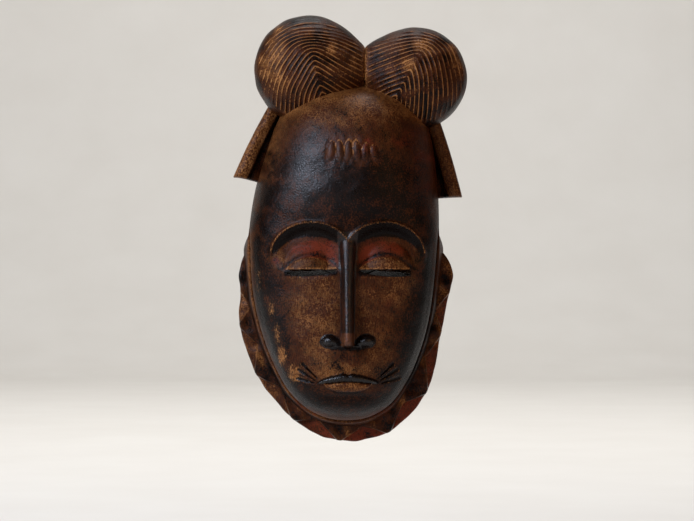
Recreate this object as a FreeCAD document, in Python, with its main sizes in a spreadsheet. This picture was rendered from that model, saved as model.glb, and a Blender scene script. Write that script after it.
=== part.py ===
"""Wall-hung face mask carved from one block of wood, with the ring hanger screwed into its back.

Frame: millimetres, +Z up, +X to the right of someone facing the mask, +Y into the wall.
The origin is where the wall nail carries the hanger ring, on the plane of the mask's flat back (y = 0),
so every piece lies at negative y.
"""

import FreeCAD, Part
import Sketcher

import math
import os

from FreeCAD import Placement, Rotation, Vector

doc = FreeCAD.newDocument("carved_mask")
sheet = doc.addObject("Spreadsheet::Sheet", "sizes")

# ---------------------------------------------------------------- driving dimensions
SIZES = {
    # levels are heights above the nail; widths are half widths; depths are from the flat back to the front
    "crown_level": 20.0, "crown_width": 40.0, "crown_depth": 30.0, "crown_shift": 8.0,
    "hairline_level": 11.0, "hairline_width": 57.0, "hairline_depth": 54.0, "hairline_shift": 7.0,
    "peak_level": 3.0, "peak_width": 65.0, "peak_depth": 69.0, "peak_shift": 5.0,
    "dome_level": -15.0, "dome_width": 67.0, "dome_depth": 82.0, "dome_shift": 2.5,
    "forehead_level": -42.0, "forehead_width": 74.0, "forehead_depth": 89.0, "forehead_shift": 0.5,
    "temple_level": -72.0, "temple_width": 79.0, "temple_depth": 90.0, "temple_shift": -2.0,
    "brow_level": -102.0, "brow_width": 81.0, "brow_depth": 86.0, "brow_shift": -4.0,
    "eye_level": -139.0, "eye_width": 80.0, "eye_depth": 82.0, "eye_shift": -4.5,
    "cheek_level": -176.0, "cheek_width": 75.0, "cheek_depth": 82.0, "cheek_shift": -4.3,
    "nostril_level": -206.0, "nostril_width": 67.0, "nostril_depth": 82.0, "nostril_shift": -3.4,
    "mouth_level": -232.0, "mouth_width": 56.0, "mouth_depth": 80.0, "mouth_shift": -2.0,
    "chin_level": -252.0, "chin_width": 40.0, "chin_depth": 70.0, "chin_shift": 0.0,
    "chin_end_level": -264.0, "chin_end_width": 20.0, "chin_end_depth": 50.0, "chin_end_shift": 0.5,
    # wall of the hollowed shell
    "side_wall": 12.0, "front_wall": 15.0, "hollow_top": -46.0, "hollow_bottom": -240.0,
    # hair buns
    "bun_left_x": -34.0, "bun_left_z": 29.7, "bun_left_radius": 46.7,
    "bun_right_x": 57.0, "bun_right_z": 23.0, "bun_right_radius": 43.3,
    "bun_centre_depth": 26.0,
    # web of hair between the buns
    "web_x": 13.5, "web_top": 48.5, "web_half_width": 34.0, "web_foot": 4.0, "web_depth": 40.0,
    "web_rise_left": 15.3, "web_rise_right": 6.8,
    # hair lappets beside the head
    "lappet_back": 8.0, "lappet_thickness": 22.0,
    "lappet_left_root_x": -70.5, "lappet_left_root_z": 4.0,
    "lappet_left_tip_x": -98.6, "lappet_left_tip_z": -61.0,
    "lappet_right_root_x": 80.0, "lappet_right_root_z": -8.0,
    "lappet_right_tip_x": 94.6, "lappet_right_tip_z": -76.5,
    "lappet_inner_x": 48.0, "lappet_foot_drop": 3.0, "lappet_foot_turn": 2.4,
    # toothed collar round the jaw, and the sloping wall between it and the ridge that edges the face
    "collar_thickness": 18.0, "chip_depth": 5.5, "chip_reach": 10.5, "chip_gap": 2.2,
    "wall_foot_depth": 14.0, "wall_top_depth": 36.0, "wall_spread": 1.06, "edge_ridge_radius": 2.6,
    # face carving
    "face_x": -1.0, "eye_spacing": 30.5,
    "socket_width": 25.0, "socket_height": 22.0, "socket_depth": 9.0, "socket_level": -128.0,
    "brow_radius": 3.6, "lid_width": 22.5, "lid_height": 22.0, "lid_front": 81.0, "lid_depth": 24.0,
    "slit_width": 41.0, "slit_height": 4.6, "slit_drop": 0.6, "slit_fall": 24.0, "slit_reach": 40.0,
    "nose_top": -112.0, "nose_tip": -204.0, "nose_bridge_width": 12.0, "nose_tip_width": 11.0,
    "nose_bridge_front": 89.0, "nose_tip_front": 97.0,
    "nostril_radius": 6.4, "nostril_spacing": 14.6, "nostril_front": 87.0, "nostril_centre_level": -202.0,
    "lip_radius": 2.7, "lip_width": 17.0, "lip_level": -238.6, "lip_height": 4.6, "lip_front": 81.0,
    "lip_depth": 14.0, "notch_radius": 1.2,
    "scar_count": 6, "scar_pitch": 7.2, "scar_level": -39.0, "scar_height": 7.5, "scar_width": 3.2,
    "scar_front": 90.5, "scar_depth": 6.0, "scar_shift": 4.0, "scar_curve": 0.35,
    # recess for the hanger, and the holes its screws cut for themselves
    "recess_width": 30.0, "recess_top": 9.0, "recess_bottom": -39.0, "recess_depth": 9.0,
    "screw_bore_radius": 1.52, "screw_bore_depth": 12.0,
    # ring hanger
    "ring_wire": 1.25, "ring_inner_half_width": 8.5, "ring_reach": 14.2, "ring_lean": 3.8, "ring_corner": 3.0,
    "barrel_clearance": 0.08, "barrel_radius": 2.33, "strap_metal": 1.0, "strap_half_width": 6.0,
    "strap_length": 25.0, "axle_level": -12.6, "screw_near": 8.5, "screw_far": 20.5,
    "screw_radius": 1.5, "screw_length": 11.0, "screw_point": 3.0, "screw_head_radius": 2.7,
    "screw_head_height": 1.6, "screw_head_brim": 0.64, "screw_hole_clearance": 0.2,
}


def fill_sheet():
    """Puts every driving dimension in the sheet as a plain number with an alias."""
    for row, (alias, value) in enumerate(SIZES.items(), start=1):
        sheet.set(f"A{row}", alias.replace("_", " "))
        sheet.set(f"B{row}", str(value))
        sheet.setAlias(f"B{row}", alias)
    doc.recompute()


def size(alias):
    """A driving dimension, as the sheet holds it."""
    return float(sheet.get(alias))


def bind(item, **expressions):
    """Binds properties to the sheet: a double underscore stands for the dot of a nested property."""
    for name, expression in expressions.items():
        item.setExpression(name.replace("__", "."), expression)
    return item


fill_sheet()

SECTIONS = [
    "crown", "hairline", "peak", "dome", "forehead", "temple", "brow",
    "eye", "cheek", "nostril", "mouth", "chin", "chin_end",
]
BULGE = 2.25  # exponent of the superellipse that every level of the head is: 2 is an ellipse, more is squarer
ARC_POINTS = 15  # points along half a superellipse
BACK_RUN = 6.0  # how far cutting tools run past the flat back
HOLLOW_END = 0.80  # how far the hollow draws in at its two ends
NEAR_END = 6.0  # levels nearer than this to an end of the hollow are left to that end
FRONT_RUN = 1.0  # how far cutting tools run past the face they cut
NOSE_STEPS = 4  # sections of the nose
SIDES = (("left", -1), ("right", 1))


# ---------------------------------------------------------------- shapes that no primitive fits
def section_wire(centre, half_width, depth, level, back):
    """A level of the head: half a superellipse in front, closed by a straight line at y = back."""
    points = []
    for step in range(ARC_POINTS):
        turn = math.pi * step / (ARC_POINTS - 1)
        x = math.copysign(abs(math.cos(turn)) ** (2 / BULGE), -math.cos(turn)) * half_width
        y = -(max(math.sin(turn), 0.0) ** (2 / BULGE)) * depth
        points.append(Vector(centre + x, y, level))
    front = Part.BSplineCurve()
    front.interpolate(points)
    first, last = points[0], points[-1]
    edges = [front.toShape()]
    if back > 0:
        corner_last = Vector(last.x, back, level)
        corner_first = Vector(first.x, back, level)
        edges.append(Part.LineSegment(last, corner_last).toShape())
        edges.append(Part.LineSegment(corner_last, corner_first).toShape())
        edges.append(Part.LineSegment(corner_first, first).toShape())
    else:
        edges.append(Part.LineSegment(last, first).toShape())
    return Part.Wire(edges)


def head_at(level):
    """Centre, half width and depth of the head at a level, between the sections of the sheet."""
    rows = [[size(f"{name}_{what}") for what in ("level", "shift", "width", "depth")] for name in SECTIONS]
    for upper, lower in zip(rows, rows[1:]):
        if lower[0] <= level <= upper[0]:
            share = (upper[0] - level) / (upper[0] - lower[0])
            return [a + share * (b - a) for a, b in zip(upper[1:], lower[1:])]
    raise ValueError(f"the head has no level {level}")


def face_depth(x, level):
    """How far in front of the flat back the head's surface is."""
    centre, half_width, depth = head_at(level)
    side = min(abs(x - centre) / half_width, 1.0)
    return depth * (1 - side ** BULGE) ** (1 / BULGE)


def feature(name, shape):
    """A document object that holds a shape made with Part's own functions."""
    item = doc.addObject("Part::Feature", name)
    item.Shape = shape
    return item


def head_blank():
    """The egg of the head, from the crown under the hair to the chin."""
    wires = [
        section_wire(*(size(f"{name}_{what}") for what in ("shift", "width", "depth", "level")), 0.0)
        for name in SECTIONS
    ]
    return feature("head_blank", Part.makeLoft(wires, True, False))


def hollow():
    """The hollow behind the face, the shape of the head less the wall."""
    top, bottom = size("hollow_top"), size("hollow_bottom")
    levels = [size(f"{name}_level") for name in SECTIONS]
    levels = [top] + [level for level in levels if bottom + NEAR_END < level < top - NEAR_END] + [bottom]
    wires = []
    for level in levels:
        centre, half_width, depth = head_at(level)
        pinch = HOLLOW_END if level in (top, bottom) else 1.0
        wires.append(section_wire(
            centre, (half_width - size("side_wall")) * pinch, (depth - size("front_wall")) * pinch,
            level, BACK_RUN,
        ))
    return feature("hollow", Part.makeLoft(wires, True, False))


def slab(points, back, front):
    """A flat slab between two depths, whose outline in the XZ plane is the given closed wire or points."""
    if isinstance(points, list):
        corners = [Vector(x, -back, z) for x, z in points]
        outline = Part.makePolygon(corners + corners[:1])
    else:
        outline = points
    return Part.Face(outline).extrude(Vector(0, back - front, 0))


def lappet(side):
    """A flat lock of hair that hangs beside the head, from under a bun to its square-cut foot."""
    root_x, root_z = size(f"lappet_{side}_root_x"), size(f"lappet_{side}_root_z")
    tip_x, tip_z = size(f"lappet_{side}_tip_x"), size(f"lappet_{side}_tip_z")
    inner_x = math.copysign(size("lappet_inner_x"), tip_x)
    turn_in = math.copysign(size("lappet_foot_turn"), tip_x)
    outline = [
        (root_x, root_z), (tip_x, tip_z), (tip_x - turn_in, tip_z - size("lappet_foot_drop")),
        (inner_x, tip_z - size("lappet_foot_drop")), (inner_x, root_z),
    ]
    back = size("lappet_back")
    return feature(f"lappet_{side}", slab(outline, back, back + size("lappet_thickness")))


def hair_web():
    """The hair that fills the notch between the buns."""
    x, half = size("web_x"), size("web_half_width")
    outline = [
        (x - half, size("web_top") + size("web_rise_left")), (x, size("web_top")),
        (x + half, size("web_top") + size("web_rise_right")),
        (x + half, size("web_foot")), (x - half, size("web_foot")),
    ]
    return feature("hair_web", slab(outline, 0.0, size("web_depth")))


# tips of the collar's teeth, from the foot of the left ear round the chin to the foot of the right ear
TOOTH_TIPS = [
    (-93.0, -157.0), (-93.5, -187.0), (-79.5, -228.5), (-48.0, -267.5), (-8.5, -286.0),
    (34.0, -278.5), (66.5, -245.0), (79.0, -194.0), (86.5, -157.0),
]
EAR_LEFT = [(-78.0, -116.0), (-87.0, -122.0), (-93.5, -140.0)]
EAR_RIGHT = [(88.5, -141.0), (81.5, -126.0), (70.0, -114.0)]
FACE_CENTRE = (-2.0, -170.0)  # middle of the face, which the collar and the edge of the face go round


def collar_blank():
    """The flange round the jaw, with the two ears where it ends."""
    rim = [Vector(x, 0, z) for x, z in EAR_LEFT + TOOTH_TIPS + EAR_RIGHT]
    curve = Part.BSplineCurve()
    curve.interpolate(rim)
    outline = Part.Wire([curve.toShape(), Part.LineSegment(rim[-1], rim[0]).toShape()])
    return feature("collar_blank", slab(outline, 0.0, size("collar_thickness")))


def collar_chips():
    """The three-cornered chips cut between the teeth, open to the collar's edge."""
    front, floor = size("collar_thickness"), size("collar_thickness") - size("chip_depth")
    cx, cz = FACE_CENTRE
    chips = []
    for (x0, z0), (x1, z1) in zip(TOOTH_TIPS, TOOTH_TIPS[1:]):
        length = math.hypot(x1 - x0, z1 - z0)
        gap = size("chip_gap") / length
        a = (x0 + gap * (x1 - x0), z0 + gap * (z1 - z0))
        b = (x1 - gap * (x1 - x0), z1 - gap * (z1 - z0))
        mid = ((x0 + x1) / 2, (z0 + z1) / 2)
        away = math.hypot(mid[0] - cx, mid[1] - cz)
        out = ((mid[0] - cx) / away, (mid[1] - cz) / away)
        reach = size("chip_reach")
        apex = (mid[0] - out[0] * reach, mid[1] - out[1] * reach)
        beyond = (mid[0] + out[0] * reach, mid[1] + out[1] * reach)
        chips.append(slab([a, apex, b, beyond], floor, front + FRONT_RUN))
    return feature("collar_chips", Part.Compound(chips))


# line of the ridge that edges the face, from one temple round the chin to the other
FACE_EDGE = [
    (-70.0, -106.0), (-84.5, -128.0), (-83.0, -153.0), (-78.5, -179.0), (-71.0, -204.0), (-61.0, -227.0),
    (-49.0, -246.0), (-31.0, -261.0), (-9.5, -268.0), (15.0, -266.0), (35.5, -254.0), (50.5, -233.0),
    (60.5, -210.0), (67.5, -186.0), (72.0, -159.0), (74.0, -134.0), (62.0, -110.0),
]


def edge_wire(spread, depth):
    """The face's edge line, spread away from the face's centre and closed by a straight line."""
    cx, cz = FACE_CENTRE
    points = [Vector(cx + (x - cx) * spread, -depth, cz + (z - cz) * spread) for x, z in FACE_EDGE]
    curve = Part.BSplineCurve()
    curve.interpolate(points)
    return Part.Wire([curve.toShape(), Part.LineSegment(points[-1], points[0]).toShape()])


def jaw_wall():
    """The wall that slopes back and outward from the face's edge to the collar."""
    wires = [edge_wire(size("wall_spread"), size("wall_foot_depth")), edge_wire(1.0, size("wall_top_depth"))]
    return feature("jaw_wall", Part.makeLoft(wires, True, True))


def swept(name, points, radius):
    """A round rod swept along a smooth line through the points."""
    curve = Part.BSplineCurve()
    curve.interpolate(points)
    start = curve.tangent(curve.FirstParameter)[0]
    profile = Part.Wire(Part.Circle(points[0], start, radius).toShape())
    return feature(name, Part.Wire(curve.toShape()).makePipeShell([profile], True, True))


def on_face(line):
    """Puts a line drawn in front of the face on the face's surface."""
    return [Vector(x, -face_depth(x, level), level) for x, level in line]


def edge_ridge():
    """The raised ridge that edges the face from temple to temple."""
    depth = size("wall_top_depth")
    line = [Vector(x, -depth, z) for x, z in FACE_EDGE[1:-1]]
    return swept("edge_ridge", line, size("edge_ridge_radius"))


# the brow and the mouth's cuts, as distances from the middle of the face and levels
BROW_LINE = [
    (1.5, -117.0), (9.0, -109.5), (19.0, -103.8), (30.0, -102.0), (42.0, -104.5), (52.5, -111.5), (60.0, -124.0),
    (62.0, -131.0),
]
UPPER_LIP_LINE = [(-24.5, -236.5), (-13.0, -232.2), (0.0, -230.8), (13.0, -232.2), (24.5, -236.5)]
NOTCH_LINES = [
    [(26.0, -232.0), (32.0, -226.0), (37.5, -220.5)],
    [(27.5, -234.0), (34.5, -229.5), (41.0, -225.5)],
    [(28.5, -236.5), (36.0, -234.5), (42.5, -232.5)],
]


def brow(side, sign):
    """The arched band over one eye, which dips to meet its twin above the nose."""
    x = size("face_x")
    line = [(x + sign * dx, level) for dx, level in BROW_LINE]
    return swept(f"brow_{side}", on_face(line), size("brow_radius"))


def nose():
    """A narrow ridge that stands further out and gets narrower towards its tip."""
    top, tip = size("nose_top"), size("nose_tip")
    wires = []
    for step in range(NOSE_STEPS):
        share = step / (NOSE_STEPS - 1)
        wires.append(section_wire(
            size("face_x"),
            size("nose_bridge_width") + share * (size("nose_tip_width") - size("nose_bridge_width")),
            size("nose_bridge_front") + share * (size("nose_tip_front") - size("nose_bridge_front")),
            top + share * (tip - top), 0.0,
        ))
    return feature("nose", Part.makeLoft(wires, True, True))


def cheek_notches():
    """Fans of three cuts beside each corner of the mouth."""
    x = size("face_x")
    return [
        swept(f"notch_{side}_{number}", on_face([(x + sign * dx, level) for dx, level in line]),
              size("notch_radius"))
        for side, sign in SIDES
        for number, line in enumerate(NOTCH_LINES, start=1)
    ]


# ---------------------------------------------------------------- primitives bound to the sheet
def ball(name, x, depth, level, radius):
    """A sphere whose sizes are expressions on the sheet."""
    item = doc.addObject("Part::Sphere", name)
    return bind(
        item, Radius=radius, Placement__Base__x=x, Placement__Base__y=f"-({depth})", Placement__Base__z=level
    )


def pebble(name, x, depth, level, half_x, half_y, half_z):
    """An ellipsoid whose half sizes along x, y and z are expressions on the sheet."""
    item = doc.addObject("Part::Ellipsoid", name)
    return bind(
        item, Radius2=half_x, Radius3=half_y, Radius1=half_z,
        Placement__Base__x=x, Placement__Base__y=f"-({depth})", Placement__Base__z=level,
    )


def block(name, x, y, z, length, width, height):
    """A box from its lowest corner, whose sizes are expressions on the sheet."""
    item = doc.addObject("Part::Box", name)
    return bind(
        item, Length=length, Width=width, Height=height,
        Placement__Base__x=x, Placement__Base__y=y, Placement__Base__z=z,
    )


def fuse(name, items):
    """One shape from several, as an object of the document."""
    item = doc.addObject("Part::MultiFuse", name)
    item.Shapes = items
    return item


def cut(name, base, tool):
    """A shape with another taken out of it, as an object of the document."""
    item = doc.addObject("Part::Cut", name)
    item.Base, item.Tool = base, tool
    return item


def eye_parts(side, sign):
    """The socket to cut, the lid to add and the slit to cut, for one eye."""
    x = f"sizes.face_x {sign} sizes.eye_spacing"
    socket = pebble(
        f"socket_{side}", x, "sizes.eye_depth", "sizes.socket_level",
        "sizes.socket_width", "sizes.socket_depth", "sizes.socket_height",
    )
    lid_ball = pebble(
        f"lid_ball_{side}", x, "sizes.lid_front - sizes.lid_depth / 2", "sizes.eye_level",
        "sizes.lid_width", "sizes.lid_depth / 2", "sizes.lid_height",
    )
    below = block(
        f"below_lid_{side}", f"{x} - 2 * sizes.lid_width", "-sizes.lid_front - sizes.lid_depth",
        "sizes.eye_level - 2 * sizes.lid_height",
        "4 * sizes.lid_width", "3 * sizes.lid_depth", "2 * sizes.lid_height",
    )
    lid = cut(f"lid_{side}", lid_ball, below)
    return socket, lid, eye_slit(side, x)


def eye_slit(side, x):
    """The bar that cuts one eye's slit, which falls as it goes in."""
    slit = doc.addObject("Part::Box", f"slit_{side}")
    slit.Placement = Placement(Vector(), Rotation(Vector(1, 0, 0), -size("slit_fall")))
    return bind(
        slit, Length="sizes.slit_width", Width="sizes.slit_reach", Height="sizes.slit_height",
        Placement__Base__x=f"{x} - sizes.slit_width / 2",
        Placement__Base__y="-sizes.lid_front - sizes.lid_depth / 4",
        Placement__Base__z="sizes.eye_level - sizes.slit_drop - sizes.slit_height"
                           " + sizes.lid_depth / 4 * tan(sizes.slit_fall)",
    )


def forehead_scars():
    """A row of upright lens-shaped beads high on the forehead."""
    beads = []
    count = int(size("scar_count"))
    for step in range(count):
        offset = step - (count - 1) / 2
        beads.append(pebble(
            f"scar_{step + 1}", f"sizes.face_x + sizes.scar_shift + {offset} * sizes.scar_pitch",
            f"sizes.scar_front - sizes.scar_depth / 2 - {offset * offset} * sizes.scar_curve",
            "sizes.scar_level",
            "sizes.scar_width", "sizes.scar_depth / 2", "sizes.scar_height",
        ))
    return beads


def hanger_seat():
    """The recess in the flat back that takes the hanger, with the holes of its two screws."""
    seat = [block(
        "hanger_recess", "-sizes.recess_width / 2", "-sizes.recess_depth", "sizes.recess_bottom",
        "sizes.recess_width", f"sizes.recess_depth + {BACK_RUN}", "sizes.recess_top - sizes.recess_bottom",
    )]
    for place in ("near", "far"):
        bore = doc.addObject("Part::Cylinder", f"screw_bore_{place}")
        bore.Placement = Placement(Vector(), Rotation(Vector(1, 0, 0), 90))
        seat.append(bind(
            bore, Radius="sizes.screw_bore_radius", Height=f"sizes.screw_bore_depth + {FRONT_RUN}",
            Placement__Base__y=f"-sizes.recess_depth + {FRONT_RUN}",
            Placement__Base__z=f"sizes.axle_level - sizes.screw_{place}",
        ))
    return fuse("hanger_seat", seat)


def mouth_and_nostrils():
    """The lips and the two round wings of the nose."""
    arch = swept("lip_upper", on_face([(size("face_x") + dx, z) for dx, z in UPPER_LIP_LINE]), size("lip_radius"))
    lower = pebble(
        "lip_lower", "sizes.face_x", "sizes.lip_front - sizes.lip_depth / 2", "sizes.lip_level",
        "sizes.lip_width", "sizes.lip_depth / 2", "sizes.lip_height",
    )
    wings = [
        ball(f"nostril_{side}", f"sizes.face_x {sign} sizes.nostril_spacing",
             "sizes.nostril_front - sizes.nostril_radius", "sizes.nostril_centre_level", "sizes.nostril_radius")
        for side, sign in (("left", "-"), ("right", "+"))
    ]
    return [arch, lower, *wings]


# lowest corner and size of a box behind the flat back that is larger than anything there
BEHIND_BACK = ("-150", "0", "-320", "300", "80", "440")


def carve_mask():
    """The one block of wood: blank, hair, collar and face carving, less the hollow and the cuts."""
    left_socket, left_lid, left_slit = eye_parts("left", "-")
    right_socket, right_lid, right_slit = eye_parts("right", "+")
    head = cut("head_with_sockets", head_blank(), fuse("sockets", [left_socket, right_socket]))
    buns = [
        ball(f"bun_{side}", f"sizes.bun_{side}_x", "sizes.bun_centre_depth", f"sizes.bun_{side}_z",
             f"sizes.bun_{side}_radius")
        for side, _ in SIDES
    ]
    mask = fuse("blocked_out", [
        head, *buns, hair_web(), lappet("left"), lappet("right"), jaw_wall(),
        cut("collar", collar_blank(), collar_chips()),
    ])
    mask = fuse("with_lids", [mask, left_lid, right_lid])
    mask = fuse("with_edge_ridge", [mask, edge_ridge()])
    mask = fuse("with_brows", [mask, *(brow(side, sign) for side, sign in SIDES)])
    mask = fuse("with_nose", [mask, nose()])
    mask = fuse("with_mouth", [mask, *mouth_and_nostrils()])
    mask = fuse("with_scars", [mask, *forehead_scars()])
    mask = cut("notched", mask, fuse("notches", cheek_notches()))
    mask = cut("flat_backed", mask, block("behind_back", *BEHIND_BACK))
    mask = cut("hollowed", mask, hollow())
    mask = cut("with_hanger_seat", mask, hanger_seat())
    mask = cut("mask_body", mask, fuse("slits", [left_slit, right_slit]))
    mask.Label = "mask_body"
    return mask


# ---------------------------------------------------------------- ring hanger
def new_body(name, y="0", z="0"):
    """A body whose origin stands on the hanger's middle line, at a depth and a level."""
    body = doc.addObject("PartDesign::Body", name)
    body.Label = name
    return bind(body, Placement__Base__y=y, Placement__Base__z=z)


def sketch_on(body, role, name):
    """A sketch on one of a body's own origin planes."""
    drawing = body.newObject("Sketcher::SketchObject", name)
    plane = next(item for item in body.Origin.OriginFeatures if item.Role == role)
    drawing.AttachmentSupport = [(plane, "")]
    drawing.MapMode = "FlatFace"
    return drawing


def pin_point(drawing, edge, end, name, across, up):
    """Holds one end of an edge at a place given by two expressions."""
    for kind, expression in (("DistanceX", across), ("DistanceY", up)):
        index = drawing.addConstraint(Sketcher.Constraint(kind, -1, 1, edge, end, 1.0))
        drawing.renameConstraint(index, f"{name}_{kind}")
        drawing.setExpression(f"Constraints.{name}_{kind}", expression)


def outline(drawing, corners):
    """A closed outline of straight lines, with each corner held by two expressions."""
    count = len(corners)
    for number in range(count):
        start, end = Vector(number, number % 2, 0), Vector(number + 1, (number + 1) % 2, 0)
        drawing.addGeometry(Part.LineSegment(start, end), False)
    for number in range(count):
        drawing.addConstraint(Sketcher.Constraint("Coincident", number, 2, (number + 1) % count, 1))
    for number, (across, up) in enumerate(corners):
        pin_point(drawing, number, 1, f"corner_{number}", across, up)


def round_outline(drawing, name, up, radius):
    """A circle on the sketch's upright axis, with its height and radius given by expressions."""
    edge = drawing.addGeometry(Part.Circle(Vector(0, 1, 0), Vector(0, 0, 1), 1.0), False)
    pin_point(drawing, edge, 3, name, "0", up)
    index = drawing.addConstraint(Sketcher.Constraint("Radius", edge, 1.0))
    drawing.renameConstraint(index, f"{name}_radius")
    drawing.setExpression(f"Constraints.{name}_radius", radius)


def across_middle(body, kind, name, drawing, length):
    """Adds or removes the sketch's outline over a length that is halved by the sketch's plane."""
    step = body.newObject(kind, name)
    step.Profile = drawing
    step.SideType = "Symmetric"
    return bind(step, Length=length)


def hanger_strap():
    """A brass strap folded double round the ring's straight side, with holes for two screws."""
    barrel_depth = "sizes.recess_depth - sizes.barrel_radius"
    body = new_body("hanger_strap", f"-({barrel_depth})", "sizes.axle_level")
    tab = sketch_on(body, "YZ_Plane", "tab_side")
    outline(tab, [
        ("-sizes.barrel_radius", "0"), ("-sizes.barrel_radius + 2 * sizes.strap_metal", "0"),
        ("-sizes.barrel_radius + 2 * sizes.strap_metal", "-sizes.strap_length"),
        ("-sizes.barrel_radius", "-sizes.strap_length"),
    ])
    across_middle(body, "PartDesign::Pad", "tab", tab, "2 * sizes.strap_half_width")
    barrel = sketch_on(body, "YZ_Plane", "barrel_side")
    round_outline(barrel, "barrel", "0", "sizes.barrel_radius")
    across_middle(body, "PartDesign::Pad", "barrel", barrel, "2 * sizes.strap_half_width")
    bore = sketch_on(body, "YZ_Plane", "bore_side")
    round_outline(bore, "bore", "0", "sizes.ring_wire + sizes.barrel_clearance")
    across_middle(body, "PartDesign::Pocket", "bore", bore, "4 * sizes.strap_half_width")
    holes = sketch_on(body, "XZ_Plane", "screw_hole_faces")
    for place in ("near", "far"):
        radius = "sizes.screw_radius + sizes.screw_hole_clearance"
        round_outline(holes, f"hole_{place}", f"-sizes.screw_{place}", radius)
    across_middle(body, "PartDesign::Pocket", "screw_holes", holes, "4 * sizes.barrel_radius")
    return body


def hanger_ring():
    """A wire ring with one straight side, which turns in the strap's barrel."""
    body = new_body("hanger_ring", "-(sizes.recess_depth - sizes.barrel_radius)", "sizes.axle_level")
    body.Placement.Rotation = Rotation(Vector(1, 0, 0), size("ring_lean"))
    wire, corner = size("ring_wire"), size("ring_corner")
    half, reach = size("ring_inner_half_width") + wire, size("ring_reach") + wire
    path = sketch_on(body, "XZ_Plane", "ring_path")
    side_top = reach - half
    for start, end in (
        ((-half + corner, 0), (half - corner, 0)), ((half, corner), (half, side_top)),
        ((-half, side_top), (-half, corner)),
    ):
        path.addGeometry(Part.LineSegment(Vector(*start, 0), Vector(*end, 0)), False)
    quarter = math.pi / 2
    up = Vector(0, 0, 1)
    for centre, radius, first, last in (
        ((half - corner, corner), corner, -quarter, 0), ((0, side_top), half, 0, math.pi),
        ((-half + corner, corner), corner, math.pi, 3 * quarter),
    ):
        path.addGeometry(Part.ArcOfCircle(Part.Circle(Vector(*centre, 0), up, radius), first, last), False)
    round_the_ring = (0, 3, 1, 4, 2, 5, 0)  # three straight runs (0 to 2) and three arcs (3 to 5), end to start
    for before, after in zip(round_the_ring, round_the_ring[1:]):
        path.addConstraint(Sketcher.Constraint("Coincident", before, 2, after, 1))
    section = sketch_on(body, "YZ_Plane", "wire_section")
    round_outline(section, "wire", "0", "sizes.ring_wire")
    ring = body.newObject("PartDesign::AdditivePipe", "ring")
    ring.Profile = section
    ring.Spine = (path, [])
    return body


def hanger_screw(place):
    """A round-headed wood screw, which stands along the depth of the mask with its head to the back."""
    body = new_body(
        f"hanger_screw_{place}", "-(sizes.recess_depth - 2 * sizes.strap_metal)",
        f"sizes.axle_level - sizes.screw_{place}",
    )
    half = sketch_on(body, "XY_Plane", f"screw_half_{place}")
    shank = "-sizes.screw_length + sizes.screw_point"
    outline(half, [
        ("0", "-sizes.screw_length"), ("sizes.screw_radius", shank), ("sizes.screw_radius", "0"),
        ("sizes.screw_head_radius", "0"), ("sizes.screw_head_radius", "sizes.screw_head_brim"),
        ("sizes.screw_head_radius * 2 / 3", "(sizes.screw_head_brim + 2 * sizes.screw_head_height) / 3"),
        ("sizes.screw_head_radius / 3", "sizes.screw_head_height"), ("0", "sizes.screw_head_height"),
    ])
    turned = body.newObject("PartDesign::Revolution", f"screw_turned_{place}")
    turned.Profile = half
    turned.ReferenceAxis = (half, ["V_Axis"])
    turned.Angle = 360
    return body


# ---------------------------------------------------------------- build, check and export
def check_document():
    """Stops if any object of the document failed to compute."""
    for item in doc.Objects:
        if "Invalid" in item.State or "Error" in item.State:
            raise RuntimeError(f"{item.Name} did not compute: {item.State}")


def export(pieces):
    """Writes one STEP file per sub-part, named by its label."""
    os.makedirs("parts", exist_ok=True)
    for piece in pieces:
        shape = piece.Shape
        if shape.isNull() or not shape.isValid() or not shape.Solids:
            raise RuntimeError(f"{piece.Label} has no valid solid")
        print(piece.Label, "solids", len(shape.Solids), "volume", round(shape.Volume), shape.BoundBox)
        shape.exportStep(os.path.join("parts", piece.Label + ".step"))


pieces = [carve_mask(), hanger_strap(), hanger_ring(), hanger_screw("near"), hanger_screw("far")]
doc.recompute()
check_document()
export(pieces)
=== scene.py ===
"""Looks of a wall-hung face mask, carved from one block of wood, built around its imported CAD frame.

Lengths inside the classes are millimetres in the frame's own axes: +X right, +Y into the wall, +Z up,
with the origin where the nail carries the hanger ring. A mesh is turned to metres when it becomes an
object. The studio alone is in metres throughout.
"""

import logging
import math
from abc import ABC, abstractmethod
from dataclasses import dataclass, field
from enum import Enum, IntEnum

import bmesh
import bpy
import numpy as np
from mathutils import Matrix, Vector


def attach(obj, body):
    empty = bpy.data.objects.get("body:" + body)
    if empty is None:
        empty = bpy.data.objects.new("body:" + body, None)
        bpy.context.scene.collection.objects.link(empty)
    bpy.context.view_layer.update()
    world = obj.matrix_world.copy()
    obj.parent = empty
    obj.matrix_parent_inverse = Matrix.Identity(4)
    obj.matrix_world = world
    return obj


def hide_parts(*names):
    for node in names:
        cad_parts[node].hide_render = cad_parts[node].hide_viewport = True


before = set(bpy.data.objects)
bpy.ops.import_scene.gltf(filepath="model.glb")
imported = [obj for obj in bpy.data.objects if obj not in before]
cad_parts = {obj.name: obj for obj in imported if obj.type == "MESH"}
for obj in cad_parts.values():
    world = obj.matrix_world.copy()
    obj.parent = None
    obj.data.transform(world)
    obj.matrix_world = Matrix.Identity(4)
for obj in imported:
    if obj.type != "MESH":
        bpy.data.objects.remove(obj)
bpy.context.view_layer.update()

MM = 0.001
FULL_TURN = 2 * math.pi
LOG = logging.getLogger("mask")
Points = tuple[tuple[float, float], ...]
Input = bpy.types.NodeSocket | bpy.types.Node | tuple

FACE_X = -1.0  # middle of the face
EYE_SPACING = 30.5  # from the middle of the face to the middle of an eye
HEAD_CENTRE = (-2.0, -125.0)
NOWHERE = -1e3  # front of a feature where there is none, far behind the face
FAR_SHARE = 9.0  # share of the way out from a feature at places well beside it
RAW_SOOT = -0.2  # raw wood takes a little of the room's soot


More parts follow.
